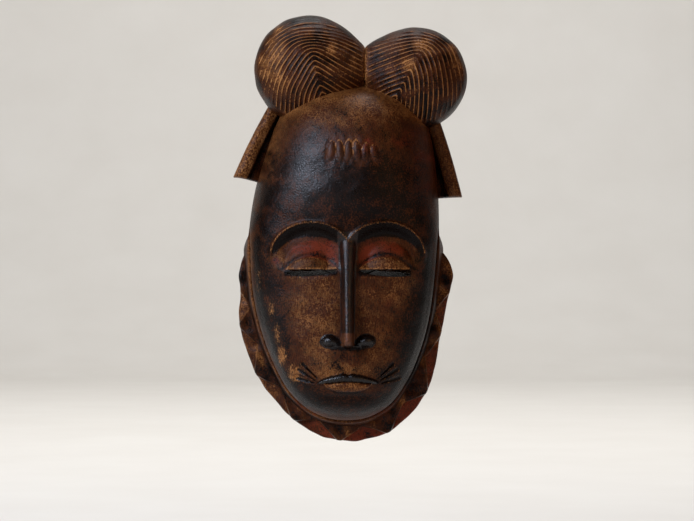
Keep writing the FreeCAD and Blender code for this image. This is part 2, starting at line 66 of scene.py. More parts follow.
class Body(str, Enum):
    """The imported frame's body that the wood rides on."""

    MASK = "mask"


class Slot(str, Enum):
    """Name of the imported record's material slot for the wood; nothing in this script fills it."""

    WOOD = "carved_wood"


class Side(IntEnum):
    """Sides of the mask, as signs along X."""

    LEFT = -1
    RIGHT = 1


# ---------------------------------------------------------------- numbers and curves
def ease(start: float, end: float, value: np.ndarray) -> np.ndarray:
    """Rises smoothly from 0 at start to 1 at end.

    Args:
        start: Value that gives 0.
        end: Value that gives 1, above or below start.
        value: Values to ease.

    Returns:
        Shares from 0 to 1.
    """
    share = np.clip((value - start) / (end - start), 0.0, 1.0)
    return share * share * (3 - 2 * share)


def bell(distance: np.ndarray, width: float) -> np.ndarray:
    """A bell that is 1 at no distance and about a third at the given width."""
    return np.exp(-((distance / width) ** 2))


def dome(share: np.ndarray, power: float = 2.0) -> np.ndarray:
    """Height of a superellipse at a share of its half width, 0 past its end."""
    return np.maximum(1 - np.minimum(np.abs(share), 1.0) ** power, 0.0) ** (1 / power)


def join_high(first: np.ndarray, second: np.ndarray, blend: float) -> np.ndarray:
    """The higher of two surfaces, rounded over the given length where they meet."""
    return 0.5 * (first + second + np.sqrt((first - second) ** 2 + blend**2))


def join_low(first: np.ndarray, second: np.ndarray, blend: float) -> np.ndarray:
    """The lower of two surfaces, rounded over the given length where they meet."""
    return 0.5 * (first + second - np.sqrt((first - second) ** 2 + blend**2))


def glide(value: np.ndarray, knots: Points) -> np.ndarray:
    """Follows a curve that never overshoots its knots.

    Args:
        value: Places to read the curve at.
        knots: Pairs of place and height, in rising order of place.

    Returns:
        Heights of the curve.
    """
    at, height = (np.array(column, float) for column in zip(*knots))
    run = np.diff(at)
    grade = np.diff(height) / run
    flat = grade[:-1] * grade[1:] <= 0
    inner = np.where(flat, 0.0, 2 * grade[:-1] * grade[1:] / np.where(flat, 1.0, grade[:-1] + grade[1:]))
    slope = np.concatenate([grade[:1], inner, grade[-1:]])
    value = np.clip(value, at[0], at[-1])
    left = np.clip(np.searchsorted(at, value) - 1, 0, len(run) - 1)
    share = (value - at[left]) / run[left]
    rest = 1 - share
    return (
        height[left] * rest**2 * (1 + 2 * share)
        + height[left + 1] * share**2 * (3 - 2 * share)
        + run[left] * slope[left] * share * rest**2
        - run[left] * slope[left + 1] * share**2 * rest
    )


def smooth_line(points: Points, steps: int, closed: bool) -> np.ndarray:
    """A smooth line through points, by cubic pieces.

    Args:
        points: Points of the line.
        steps: Pieces between two points.
        closed: Whether the last point joins the first.

    Returns:
        One row for each point of the smooth line.
    """
    knots = np.array(points, float)
    if closed:
        knots = np.concatenate([knots[-1:], knots, knots[:2]])
    else:
        knots = np.concatenate([2 * knots[:1] - knots[1:2], knots, 2 * knots[-1:] - knots[-2:-1]])
    share = np.linspace(0, 1, steps, endpoint=False)[:, None]
    rows = []
    for before, start, end, after in zip(knots, knots[1:], knots[2:], knots[3:]):
        leave, arrive = (end - before) / 2, (after - start) / 2
        rows.append(
            start * (1 - share) ** 2 * (1 + 2 * share)
            + end * share**2 * (3 - 2 * share)
            + leave * share * (1 - share) ** 2
            - arrive * share**2 * (1 - share)
        )
    if not closed:
        rows.append(knots[-2:-1])
    return np.concatenate(rows)


def ripple(x: np.ndarray, z: np.ndarray, size: float, seed: int, y: np.ndarray | float = 0.0) -> np.ndarray:
    """Gentle unevenness of a hand-worked surface, about 1 either way.

    Args:
        x: Places across.
        z: Places in height.
        size: Typical length of a wave in mm.
        seed: Which unevenness.
        y: Places in depth, where the unevenness changes with it.

    Returns:
        Heights.
    """
    draw = np.random.default_rng(seed)
    total = np.zeros_like(x)
    waves = 12
    for _ in range(waves):
        way = draw.normal(size=3)
        way *= FULL_TURN / (size * draw.uniform(0.6, 1.7) * np.linalg.norm(way))
        total += np.sin(x * way[0] + y * way[1] + z * way[2] + draw.uniform(0, FULL_TURN))
    return total / math.sqrt(waves / 2)


def to_segment(x: np.ndarray, z: np.ndarray, line: Points) -> np.ndarray:
    """Distance to a line of straight runs.

    Args:
        x: Places across.
        z: Places in height.
        line: Points of the line.

    Returns:
        Distances.
    """
    nearest = np.full_like(x, 1e6)
    for (x0, z0), (x1, z1) in zip(line, line[1:]):
        run_x, run_z = x1 - x0, z1 - z0
        share = np.clip(((x - x0) * run_x + (z - z0) * run_z) / (run_x**2 + run_z**2), 0, 1)
        nearest = np.minimum(nearest, np.hypot(x - x0 - share * run_x, z - z0 - share * run_z))
    return nearest


@dataclass(frozen=True)
class Patch:
    """A soft oval area of one tone."""

    x: float
    z: float
    half_x: float
    half_z: float
    amount: float


def laid(x: np.ndarray, z: np.ndarray, patches: tuple[Patch, ...]) -> np.ndarray:
    """Adds up the soft ovals of a tone.

    Args:
        x: Places across.
        z: Places in height.
        patches: The ovals.

    Returns:
        Amounts of the tone.
    """
    total = np.zeros_like(x)
    for patch in patches:
        reach = ((x - patch.x) / patch.half_x) ** 2 + ((z - patch.z) / patch.half_z) ** 2
        total += patch.amount * np.exp(-0.8 * reach**1.5)
    return total


# ---------------------------------------------------------------- meshes
def read_points(mesh: bpy.types.Mesh) -> np.ndarray:
    """Vertex places of a mesh, one row each."""
    flat = np.empty(len(mesh.vertices) * 3)
    mesh.vertices.foreach_get("co", flat)
    return flat.reshape(-1, 3)


def vertex_rows(verts: list) -> np.ndarray:
    """Places of bmesh vertices, one row each."""
    return np.array([vert.co[:] for vert in verts])


def place_verts(verts: list, rows: np.ndarray) -> None:
    """Moves bmesh vertices to the given rows."""
    for vert, row in zip(verts, rows):
        vert.co = row


def new_verts(geometry: list) -> list:
    """The vertices among what a bmesh operator made."""
    return [item for item in geometry if isinstance(item, bmesh.types.BMVert)]


def open_edges(mesh: bmesh.types.BMesh) -> list:
    """Edges of a bmesh with a face on one side only."""
    return [edge for edge in mesh.edges if edge.is_boundary]


def flat_grid(columns: int, rows: int) -> tuple[bmesh.types.BMesh, np.ndarray, np.ndarray]:
    """A flat grid to be shaped.

    Args:
        columns: Cells across.
        rows: Cells up.

    Returns:
        The grid, and the places of its vertices across and up, from -1 to 1.
    """
    mesh = bmesh.new()
    bmesh.ops.create_grid(mesh, x_segments=columns, y_segments=rows, size=1.0)
    places = vertex_rows(mesh.verts)
    return mesh, places[:, 0], places[:, 1]


def round_bar(radius: float, length: float, segments: int) -> bmesh.types.BMesh:
    """A round bar that lies along Y.

    Args:
        radius: Its radius.
        length: Its length.
        segments: Flats round it.

    Returns:
        The closed bar.
    """
    mesh = bmesh.new()
    bmesh.ops.create_cone(
        mesh, segments=segments, radius1=radius, radius2=radius, depth=length, cap_ends=True
    )
    bmesh.ops.rotate(mesh, matrix=Matrix.Rotation(math.pi / 2, 3, "X"), verts=mesh.verts)
    return mesh


def cut_off(mesh: bmesh.types.BMesh, place: tuple, normal: tuple) -> None:
    """Cuts a closed shape along a plane and closes it again.

    Args:
        mesh: The shape.
        place: A point of the plane.
        normal: The way the removed part lies.
    """
    geometry = mesh.verts[:] + mesh.edges[:] + mesh.faces[:]
    bmesh.ops.bisect_plane(mesh, geom=geometry, plane_co=place, plane_no=normal, clear_outer=True)
    bmesh.ops.edgeloop_fill(mesh, edges=open_edges(mesh))


def close_behind(mesh: bmesh.types.BMesh, back: float) -> None:
    """Makes a sheet a closed solid by carrying a flat copy of it back.

    Args:
        mesh: The open sheet, which faces the front.
        back: Place in Y of the flat copy.
    """
    made = bmesh.ops.extrude_face_region(mesh, geom=mesh.faces[:], use_keep_orig=True)["geom"]
    for vert in new_verts(made):
        vert.co.y = back
    bmesh.ops.recalc_face_normals(mesh, faces=mesh.faces)


def as_object(mesh: bmesh.types.BMesh, name: str, sharp: float = 42.0) -> bpy.types.Object:
    """Turns a bmesh in millimetres into an object in metres, at the origin.

    Args:
        mesh: The shape, which is freed.
        name: Name of the piece.
        sharp: Angle in degrees past which an edge stays crisp.

    Returns:
        The new object, linked to the scene.
    """
    bmesh.ops.scale(mesh, vec=(MM, MM, MM), verts=mesh.verts)
    data = bpy.data.meshes.new(name)
    mesh.to_mesh(data)
    mesh.free()
    data.shade_smooth()
    data.set_sharp_from_angle(angle=math.radians(sharp))
    piece = bpy.data.objects.new(name, data)
    bpy.context.scene.collection.objects.link(piece)
    return piece


def carve_away(piece: bpy.types.Object, cutters: list[bpy.types.Object], sharp: float = 42.0) -> None:
    """Cuts closed shapes out of a piece for good and removes the cutters.

    Args:
        piece: The piece to cut.
        cutters: Closed objects.
        sharp: Angle in degrees past which an edge stays crisp.
    """
    for cutter in cutters:
        cut = piece.modifiers.new("cut", "BOOLEAN")
        cut.operation = "DIFFERENCE"
        cut.solver = "MANIFOLD"
        cut.object = cutter
    bpy.context.view_layer.update()
    done = piece.evaluated_get(bpy.context.evaluated_depsgraph_get())
    data = bpy.data.meshes.new_from_object(done)
    piece.modifiers.clear()
    piece.data = data
    data.materials.clear()
    data.shade_smooth()
    data.set_sharp_from_angle(angle=math.radians(sharp))
    for cutter in cutters:
        bpy.data.objects.remove(cutter)


def box_cutter(low: tuple, high: tuple, rounding: float) -> bpy.types.Object:
    """A rounded box between two corners.

    Args:
        low: Lowest corner.
        high: Highest corner.
        rounding: Radius of its edges.

    Returns:
        The box as an object.
    """
    mesh = bmesh.new()
    bmesh.ops.create_cube(mesh, size=1.0)
    span = [b - a for a, b in zip(low, high)]
    bmesh.ops.scale(mesh, vec=span, verts=mesh.verts)
    bmesh.ops.translate(mesh, vec=[(a + b) / 2 for a, b in zip(low, high)], verts=mesh.verts)
    bmesh.ops.bevel(
        mesh, geom=mesh.edges[:], offset=rounding, segments=3, profile=0.5, affect="EDGES", material=-1
    )
    return as_object(mesh, "cutter")


# ---------------------------------------------------------------- finishes
class Tone(str, Enum):
    """Tones that a piece keeps at each vertex, and that its finish reads. The soot tone also carries painted
    shade, and the worn tone painted highlights.
    """

    SOOT_AND_SHADE = "soot_and_shade"
    BARE = "bare"
    RED = "red"
    WEAR_AND_HIGHLIGHT = "worn"
    RAW = "raw"
    OILED = "oiled"
    PHASE = "phase"
    SCORED = "scored"


def linear(code: str) -> tuple[float, float, float, float]:
    """Linear colour of an sRGB hex code."""
    parts = [int(code[i : i + 2], 16) / 255 for i in (1, 3, 5)]
    return (*[p / 12.92 if p <= 0.04045 else ((p + 0.055) / 1.055) ** 2.4 for p in parts], 1.0)


def add(tree: bpy.types.NodeTree, kind: str, inputs: dict | None = None, **settings) -> bpy.types.Node:
    """Adds a shader node.

    Args:
        tree: Node tree to add to.
        kind: Type of the node, without the leading ShaderNode.
        inputs: Value or socket for each input, by name or number. A node stands for its first output.
        settings: Properties of the node.

    Returns:
        The new node.
    """
    made = tree.nodes.new("ShaderNode" + kind)
    for name, value in settings.items():
        setattr(made, name, value)
    for key, value in (inputs or {}).items():
        if isinstance(value, bpy.types.Node):
            value = value.outputs[0]
        if isinstance(value, bpy.types.NodeSocket):
            tree.links.new(value, made.inputs[key])
        else:
            made.inputs[key].default_value = value
    return made


def kept(tree: bpy.types.NodeTree, tone: Tone) -> bpy.types.NodeSocket:
    """A tone that the piece keeps."""
    return add(tree, "Attribute", attribute_name=tone.value).outputs["Fac"]


def blank_material(name: str) -> tuple[bpy.types.Material, bpy.types.NodeTree, bpy.types.Node]:
    """A material with its tree and its one shader."""
    made = bpy.data.materials.new(name)
    made.use_nodes = True
    return made, made.node_tree, made.node_tree.nodes["Principled BSDF"]


@dataclass(frozen=True)
class SmokedHardwood:
    """Close-grained hardwood, stained, blackened with smoke and oil, and rubbed bare by handling.

    The eye gets a black skin with a soft sheen, which breaks into speckle over warm brown wood. The same
    black also paints shade in slits, grooves and creases, and the pale of rubbed wood paints highlights on
    some edges.
    """

    name: str = "smoked_hardwood"
    wood_dark: str = "#260e04"
    wood: str = "#4a2208"
    bare: str = "#633510"
    bare_pale: str = "#9c6a3c"
    red: str = "#63240f"
    # black of the soot, also used as painted shade in the slits, the lens grooves, under the nose and lower
    # lip and on the buns' rims
    soot_and_shade: str = "#0a0301"
    raw: str = "#6b4526"
    blotch_mm: float = 12.0
    speckle_mm: float = 1.3
    grain_mm: float = 0.8
    gouge_mm: float = 9.0
    grain_stretch: float = 5.0  # how much longer the grain is than it is wide
    grain_bump_mm: float = 0.25
    speckle_bump_mm: float = 0.45
    gouge_bump_mm: float = 2.0
    no_sheen_ior: float = 1.0  # only the painted shade inside the eye slits takes the lowest oiled tone, which gives no sheen
    oiled_ior: float = 1.42

    def coat(
        self, tree: bpy.types.NodeTree, below: Input, over: Input, place: Input, low: float, high: float
    ) -> tuple[bpy.types.NodeSocket, bpy.types.NodeSocket]:
        """Lays one coat over the colour below it, with a soft border.

        Args:
            tree: Node tree to add to.
            below: Colour under the coat.
            over: Colour of the coat.
            place: How strongly the coat lies at a place.
            low: Value of place where the coat begins.
            high: Value of place where the coat is full.

        Returns:
            The new colour, and how fully the coat covers.
        """
        border = {"Value": place, "From Min": low, "From Max": high}
        share = add(tree, "MapRange", border, interpolation_type="SMOOTHSTEP").outputs["Result"]
        return add(tree, "Mix", {0: share, 6: below, 7: over}, data_type="RGBA").outputs[2], share

    def wear_and_highlight_place(self, tree: bpy.types.NodeTree, rubbed: bpy.types.Node) -> bpy.types.NodeSocket:
        """How far a place is worn to bare wood or painted with a highlight, here whatever the rubbing is."""
        return kept(tree, Tone.WEAR_AND_HIGHLIGHT)

    def wear_and_highlight_colour(self, tree: bpy.types.NodeTree, pale: bpy.types.NodeSocket) -> bpy.types.NodeSocket:
        """Colour of worn places and painted highlights, here that of rubbed bare wood."""
        return pale

    def soot_and_shade_place(self, tree: bpy.types.NodeTree) -> bpy.types.NodeSocket:
        """How sooty a place is."""
        return kept(tree, Tone.SOOT_AND_SHADE)

    def make(self) -> bpy.types.Material:
        """Builds the material.

        Returns:
            The finished material.
        """
        material, tree, shader = blank_material(self.name)
        object_space = add(tree, "TexCoord").outputs["Object"]
        in_mm = add(tree, "Mapping", {"Vector": object_space, "Scale": (1 / MM,) * 3})
        along_grain = (1 / MM, 1 / MM, 1 / (self.grain_stretch * MM))
        along = add(tree, "Mapping", {"Vector": object_space, "Scale": along_grain})
        blotch = {"Vector": in_mm, "Scale": 1 / self.blotch_mm, "Detail": 5.0}
        blotch = add(tree, "TexNoise", blotch | {"Roughness": 0.62, "Distortion": 0.6})
        speckle = add(
            tree, "TexNoise", {"Vector": in_mm, "Scale": 1 / self.speckle_mm, "Detail": 3.0, "Roughness": 0.6}
        )
        grain = add(
            tree, "TexNoise", {"Vector": along, "Scale": 1 / self.grain_mm, "Detail": 4.0, "Roughness": 0.65}
        )
        rubbed = add(tree, "Math", {0: speckle, 1: 3.2, 2: -2.6}, operation="MULTIPLY_ADD")
        rubbed = add(tree, "Math", {0: blotch, 1: 2.0, 2: rubbed}, operation="MULTIPLY_ADD")
        streaked = add(tree, "Math", {0: speckle, 1: 1.15}, operation="SUBTRACT")
        streaked = add(tree, "Math", {0: grain, 1: 1.3, 2: streaked}, operation="MULTIPLY_ADD")
        colour, _ = self.coat(tree, linear(self.wood_dark), linear(self.wood), grain, 0.3, 0.7)
        pale, _ = self.coat(tree, linear(self.bare), linear(self.bare_pale), streaked, -0.3, 0.4)
        hewn = add(tree, "Mix", {0: grain, 6: linear(self.wood), 7: linear(self.raw)}, data_type="RGBA")
        bare_place, red_place, soot_and_shade_place, wear_and_highlight_place = (
            add(tree, "Math", {0: place, 1: broken}, operation="ADD")
            for place, broken in (
                (kept(tree, Tone.BARE), rubbed), (kept(tree, Tone.RED), rubbed),
                (self.soot_and_shade_place(tree), rubbed), (self.wear_and_highlight_place(tree, rubbed), streaked),
            )
        )
        colour, _ = self.coat(tree, colour, pale, bare_place, 0.0, 1.05)
        colour, _ = self.coat(tree, colour, linear(self.red), red_place, 0.1, 0.95)
        colour, raw_share = self.coat(tree, colour, hewn.outputs[2], kept(tree, Tone.RAW), 0.3, 0.7)
        colour, soot_and_shade_share = self.coat(tree, colour, linear(self.soot_and_shade), soot_and_shade_place, 0.1, 0.9)
        # Worn places and painted highlights take the pale of rubbed wood.
        colour, _ = self.coat(tree, colour, self.wear_and_highlight_colour(tree, pale), wear_and_highlight_place, 0.35, 0.75)
        tree.links.new(colour, shader.inputs["Base Color"])
        rough = add(tree, "Math", {0: speckle, 1: 0.4, 2: 0.26}, operation="MULTIPLY_ADD")
        rough = add(tree, "Math", {0: soot_and_shade_share, 1: -0.17, 2: rough}, operation="MULTIPLY_ADD")
        tree.links.new(rough.outputs[0], shader.inputs["Roughness"])
        gouge = {"Vector": along, "Scale": 1 / self.gouge_mm, "Smoothness": 0.45}
        gouge = add(tree, "TexVoronoi", gouge, feature="SMOOTH_F1")
        gouge = add(tree, "Math", {0: gouge, 1: raw_share}, operation="MULTIPLY")
        bump = add(tree, "Bump", {"Strength": 0.6, "Distance": self.grain_bump_mm * MM, "Height": grain})
        for strength, deep, height in (
            (0.9, self.speckle_bump_mm, speckle), (0.8, self.gouge_bump_mm, gouge),
        ):
            bump = {"Strength": strength, "Distance": deep * MM, "Height": height, "Normal": bump}
            bump = add(tree, "Bump", bump)
        tree.links.new(bump.outputs[0], shader.inputs["Normal"])
        oil = {"Value": kept(tree, Tone.OILED), "From Min": -1.0, "To Min": self.no_sheen_ior}
        sheen = add(tree, "MapRange", oil | {"To Max": self.oiled_ior})
        tree.links.new(sheen.outputs["Result"], shader.inputs["IOR"])
        return material


@dataclass(frozen=True)
class CutHair(SmokedHardwood):
    """The same wood scored with close cuts, whose crests are rubbed bare.

    The eye gets thin light crests between wide black cuts.
    """

    name: str = "scored_hardwood"
    crest: str = "#87572e"
    rubbed: str = "#a3703f"
    crest_begins: float = 0.62  # share of the way from a cut to the next crest
    crest_full: float = 0.95

    def crests(self, tree: bpy.types.NodeTree) -> bpy.types.Node:
        """1 along the crest between two cuts, falling to 0 in the cuts and where there are none.

        Args:
            tree: Node tree to add to.

        Returns:
            The node that gives the share.
        """
        turn = add(tree, "Math", {0: kept(tree, Tone.PHASE)}, operation="FRACT")
        away = add(tree, "Math", {0: turn, 1: 0.5}, operation="SUBTRACT")
        away = add(tree, "Math", {0: away}, operation="ABSOLUTE")
        near = add(tree, "Math", {0: away, 1: -2.0, 2: 1.0}, operation="MULTIPLY_ADD")
        border = {"Value": near, "From Min": self.crest_begins, "From Max": self.crest_full}
        near = add(tree, "MapRange", border, interpolation_type="SMOOTHSTEP")
        return add(tree, "Math", {0: near, 1: kept(tree, Tone.SCORED)}, operation="MULTIPLY")

    def wear_and_highlight_place(self, tree: bpy.types.NodeTree, rubbed: bpy.types.Node) -> bpy.types.NodeSocket:
        """Crests are worn most, in broken lengths."""
        lines = add(tree, "Math", {0: rubbed, 1: 0.35, 2: kept(tree, Tone.WEAR_AND_HIGHLIGHT)}, operation="MULTIPLY_ADD")
        return add(tree, "Math", {0: self.crests(tree), 1: lines}, operation="ADD").outputs[0]

    def wear_and_highlight_colour(self, tree: bpy.types.NodeTree, pale: bpy.types.NodeSocket) -> bpy.types.NodeSocket:
        """Crests are brown, and pale only in the rubbed places."""
        return self.coat(tree, linear(self.crest), linear(self.rubbed), kept(tree, Tone.BARE), 0.05, 0.5)[0]

    def soot_and_shade_place(self, tree: bpy.types.NodeTree) -> bpy.types.NodeSocket:
        """Cuts hold the soot."""
        cuts = {0: self.crests(tree), 1: -0.9, 2: kept(tree, Tone.SCORED)}
        cuts = add(tree, "Math", cuts, operation="MULTIPLY_ADD")
        soot_and_shade = {0: cuts, 1: 0.3, 2: kept(tree, Tone.SOOT_AND_SHADE)}
        return add(tree, "Math", soot_and_shade, operation="MULTIPLY_ADD").outputs[0]


@dataclass(frozen=True)
class AgedBrass:
    """Drawn and stamped brass, dulled by years on a wall.

    The eye gets a brown-gold metal with darker tarnish in blotches and fine rubbing marks.
    """

    name: str = "aged_brass"
    bright: str = "#b08d4a"
    tarnish: str = "#5d4520"
    blotch_mm: float = 2.5
    rub_mm: float = 1 / 6
    rub_bump_mm: float = 0.03

    def make(self) -> bpy.types.Material:
        """Builds the material.

        Returns:
            The finished material.
        """
        material, tree, shader = blank_material(self.name)
        object_space = add(tree, "TexCoord").outputs["Object"]
        in_mm = add(tree, "Mapping", {"Vector": object_space, "Scale": (1 / MM,) * 3})
        blotch = add(tree, "TexNoise", {"Vector": in_mm, "Scale": 1 / self.blotch_mm, "Detail": 5.0})
        rub = add(tree, "TexNoise", {"Vector": in_mm, "Scale": 1 / self.rub_mm, "Detail": 2.0})
        border = {"Value": blotch, "From Min": 0.4, "From Max": 0.65}
        share = add(tree, "MapRange", border, interpolation_type="SMOOTHSTEP")
        colours = {0: share, 6: linear(self.bright), 7: linear(self.tarnish)}
        colour = add(tree, "Mix", colours, data_type="RGBA").outputs[2]
        tree.links.new(colour, shader.inputs["Base Color"])
        rough = add(tree, "Math", {0: share, 1: 0.25, 2: 0.28}, operation="MULTIPLY_ADD").outputs[0]
        tree.links.new(rough, shader.inputs["Roughness"])
        bump = add(tree, "Bump", {"Strength": 0.4, "Distance": self.rub_bump_mm * MM, "Height": rub})
        tree.links.new(bump.outputs[0], shader.inputs["Normal"])
        shader.inputs["Metallic"].default_value = 1.0
        return material


@dataclass(frozen=True)
class PaleSweep:
    """Matt painted board of a studio sweep, with the faint mottle of a roller."""

    name: str = "pale_sweep"
    light: str = "#d9d5ce"
    dark: str = "#d0cbc3"
    mottle_mm: float = 1000 / 6

    def make(self) -> bpy.types.Material:
        """Builds the material.

        Returns:
            The finished material.
        """
        material, tree, shader = blank_material(self.name)
        object_space = add(tree, "TexCoord").outputs["Object"]
        fine = {"Vector": object_space, "Scale": 1 / (self.mottle_mm * MM), "Detail": 4.0}
        mottle = add(tree, "TexNoise", fine)
        colour = add(tree, "Mix", {0: mottle, 6: linear(self.light), 7: linear(self.dark)}, data_type="RGBA")
        tree.links.new(colour.outputs[2], shader.inputs["Base Color"])
        shader.inputs["Roughness"].default_value = 0.9
        return material


# ---------------------------------------------------------------- the head
class Carving(ABC):
    """One closed shape of the carved block."""

    @abstractmethod
    def shape(self) -> bpy.types.Object:
        """Makes the closed shape."""

    @abstractmethod
    def tones(self, piece: bpy.types.Object) -> dict[Tone, np.ndarray]:
        """Says where the shape is sooty, bare, red, worn or raw, and where shade or highlights are painted on
        it.
        """

    def build(self, wood: bpy.types.Material) -> bpy.types.Object:
        """Makes and dresses the shape.

        Args:
            wood: Finish of the shape.

        Returns:
            The dressed shape as an object.
        """
        piece = self.shape()
        for tone, values in self.tones(piece).items():
            layer = piece.data.attributes.new(tone.value, "FLOAT", "POINT")
            layer.data.foreach_set("value", np.ascontiguousarray(values, dtype=np.float32))
        piece.data.materials.append(wood)
        return piece


@dataclass
class Skin:
    """Tones of the head while they are being laid, one value for each vertex."""

    x: np.ndarray
    z: np.ndarray
    soot_and_shade: np.ndarray
    bare: np.ndarray
    red: np.ndarray
    worn: np.ndarray
    oiled: np.ndarray


@dataclass
class Head(Carving):
    """The dome, forehead, face and jaw, hollowed from behind."""

    outline: Points = (
        (8.0, 25.0), (-22.0, 21.5), (-46.0, 8.0), (-61.0, -12.0), (-71.5, -42.0), (-80.0, -72.0),
        (-84.0, -102.0), (-84.5, -128.0), (-83.0, -153.0), (-78.5, -179.0), (-71.0, -204.0), (-61.0, -227.0),
        (-49.0, -246.0), (-31.0, -261.0), (-9.5, -268.0), (15.0, -266.0), (35.5, -254.0), (50.5, -233.0),
        (60.5, -210.0), (67.5, -186.0), (72.0, -159.0), (74.5, -134.0), (76.0, -102.0), (76.0, -72.0),
        (73.5, -42.0), (68.0, -16.0), (60.0, 0.0), (46.0, 13.0), (28.0, 22.0),
    )
    depths: Points = (
        (-269.0, 37.0), (-264.0, 52.0), (-252.0, 69.0), (-232.0, 79.0), (-206.0, 82.0), (-176.0, 82.5),
        (-139.0, 83.0), (-102.0, 86.0), (-72.0, 90.0), (-42.0, 89.0), (-15.0, 81.0), (3.0, 69.0),
        (11.0, 55.0), (20.0, 31.0), (25.0, 9.0),
    )
    outline_steps: int = 12
    columns: int = 210
    rows: int = 334
    bulge: float = 2.25
    half_width: float = 81.0
    half_height: float = 147.0
    jaw_rim: float = 36.0
    temple_rim: float = 8.0
    bead: float = 1.7
    temple_bead: float = 0.4
    wall_spread: float = 5.5
    wall_foot: float = 14.0
    side_wall: float = 12.0
    front_wall: float = 15.0
    hollow_top: float = -46.0
    hollow_bottom: float = -240.0
    hollow_rounding: float = 9.0
    eye_level: float = -139.0
    arch_level: float = -128.0
    brow_half_width: float = 33.5
    brow_height: float = 27.5
    brow_drop: float = 20.0
    brow_crest: float = 1.7
    socket_drop: float = 6.8
    lid_half_width: float = 24.0
    lid_height: float = 24.0
    lid_front: float = 80.0
    lid_depth: float = 12.0
    lens_half_width: float = 21.0
    lens_rise: float = 9.6
    lens_swell: float = 1.5
    lens_groove: float = 0.9
    slit_height: float = 5.6
    slit_half_width: float = 21.5
    slit_reach: float = 110.0
    slit_slope: float = 0.45  # fall of the slit for each mm inwards
    slit_drop: float = 0.5
    nose_tip: float = -202.0
    nose_foot: float = 60.0
    nose_top: float = -110.5
    nose_end: float = -205.5
    nose_line: Points = (
        (-206.0, 66.0), (-204.6, 84.0), (-202.6, 94.5), (-199.0, 96.8), (-160.0, 92.0), (-130.0, 88.8),
        (-118.0, 86.4), (-110.0, 82.0),
    )
    wing_level: float = -199.0
    wing_spacing: float = 14.2
    wing_half_width: float = 8.0
    wing_front: float = 79.0
    wing_swell: float = 8.0
    bar_half_width: float = 10.0
    bar_front: float = 80.0
    bar_swell: float = 4.5
    parting_level: float = -234.6
    upper_lip_half_width: float = 25.5
    upper_lip_height: float = 7.2
    upper_lip_swell: float = 4.2
    lower_lip_half_width: float = 19.5
    lower_lip_height: float = 8.4
    lower_lip_swell: float = 3.4
    chin_fold: float = -245.5
    chin_fold_depth: float = 1.2
    fan_cut_width: float = 0.9
    fan_cut_depth: float = 1.5
    rim_groove_depth: float = 0.6
    scar_pitch: float = 7.2
    scar_level: float = -41.0
    scar_half_width: float = 3.2
    scar_swell: float = 2.0
    scar_tilts: tuple[float, ...] = (0.10, -0.06, 0.04, -0.12, 0.07, -0.16)
    scar_heights: tuple[float, ...] = (8.0, 8.8, 8.2, 8.6, 7.4, 6.6)
    scar_drops: tuple[float, ...] = (0.0, 0.6, -0.4, 0.4, 1.2, 2.2)
    notch_lines: tuple[Points, ...] = (
        ((26.0, -229.5), (32.0, -223.5), (37.5, -218.0)),
        ((27.5, -231.5), (34.5, -227.0), (41.0, -223.0)),
        ((28.5, -234.0), (36.0, -232.0), (42.5, -230.0)),
    )
    hairline: Points = ((-54.0, -9.0), (-38.0, 2.0), (-21.5, 8.5), (11.0, 15.0), (40.0, 4.0), (62.0, -18.0))
    loop: np.ndarray = field(init=False)

    def __post_init__(self) -> None:
        """Draws the smooth outline once."""
        self.loop = smooth_line(self.outline, self.outline_steps, closed=True)

    # -------- plain shape
    def polar(self, x: np.ndarray, z: np.ndarray) -> tuple[np.ndarray, np.ndarray]:
        """Turn and distance of places about the middle of the head."""
        across, up = x - HEAD_CENTRE[0], z - HEAD_CENTRE[1]
        return np.arctan2(up, across), np.hypot(across, up)

    def place(self, turn: np.ndarray, distance: np.ndarray) -> tuple[np.ndarray, np.ndarray]:
        """Places at a turn and a distance about the middle of the head."""
        return HEAD_CENTRE[0] + distance * np.cos(turn), HEAD_CENTRE[1] + distance * np.sin(turn)

    def reach(self, turn: np.ndarray) -> np.ndarray:
        """Distance from the middle of the head to its outline."""
        turns, reaches = self.polar(self.loop[:, 0], self.loop[:, 1])
        return np.interp(turn, turns, reaches, period=FULL_TURN)

    def to_rim(self, x: np.ndarray, z: np.ndarray) -> np.ndarray:
        """How far inside the outline places are, towards the middle."""
        turn, distance = self.polar(x, z)
        return self.reach(turn) - distance

    def jaw(self, z: np.ndarray) -> np.ndarray:
        """1 beside the face, where its edge has a ridge, and 0 beside the forehead."""
        return ease(-102.0, -124.0, z)

    def rim_depth(self, z: np.ndarray) -> np.ndarray:
        """How far the edge of the front surface stands off the wall."""
        return self.temple_rim + (self.jaw_rim - self.temple_rim) * ease(-66.0, -120.0, z)

    def span(self, z: np.ndarray) -> tuple[np.ndarray, np.ndarray]:
        """Reads the outline from side to side.

        Args:
            z: Levels.

        Returns:
            Middle and half width of the outline at each level.
        """
        low, high = int(np.argmin(self.loop[:, 1])), int(np.argmax(self.loop[:, 1]))
        ring = np.roll(self.loop, -high, axis=0)
        cut = (low - high) % len(ring)
        left, right = ring[: cut + 1][::-1], np.concatenate([ring[cut:], ring[:1]])
        x_left, x_right = np.interp(z, left[:, 1], left[:, 0]), np.interp(z, right[:, 1], right[:, 0])
        return (x_left + x_right) / 2, np.maximum((x_right - x_left) / 2, 0.5)

    def blank(self, x: np.ndarray, z: np.ndarray) -> np.ndarray:
        """How far the uncarved head stands off the wall.

        Args:
            x: Places across.
            z: Places in height.

        Returns:
            Distances from the wall.
        """
        middle, half = self.span(z)
        rim = self.rim_depth(z)
        deep = np.maximum(glide(z, self.depths), rim)
        return rim + (deep - rim) * dome((x - middle) / half, self.bulge)

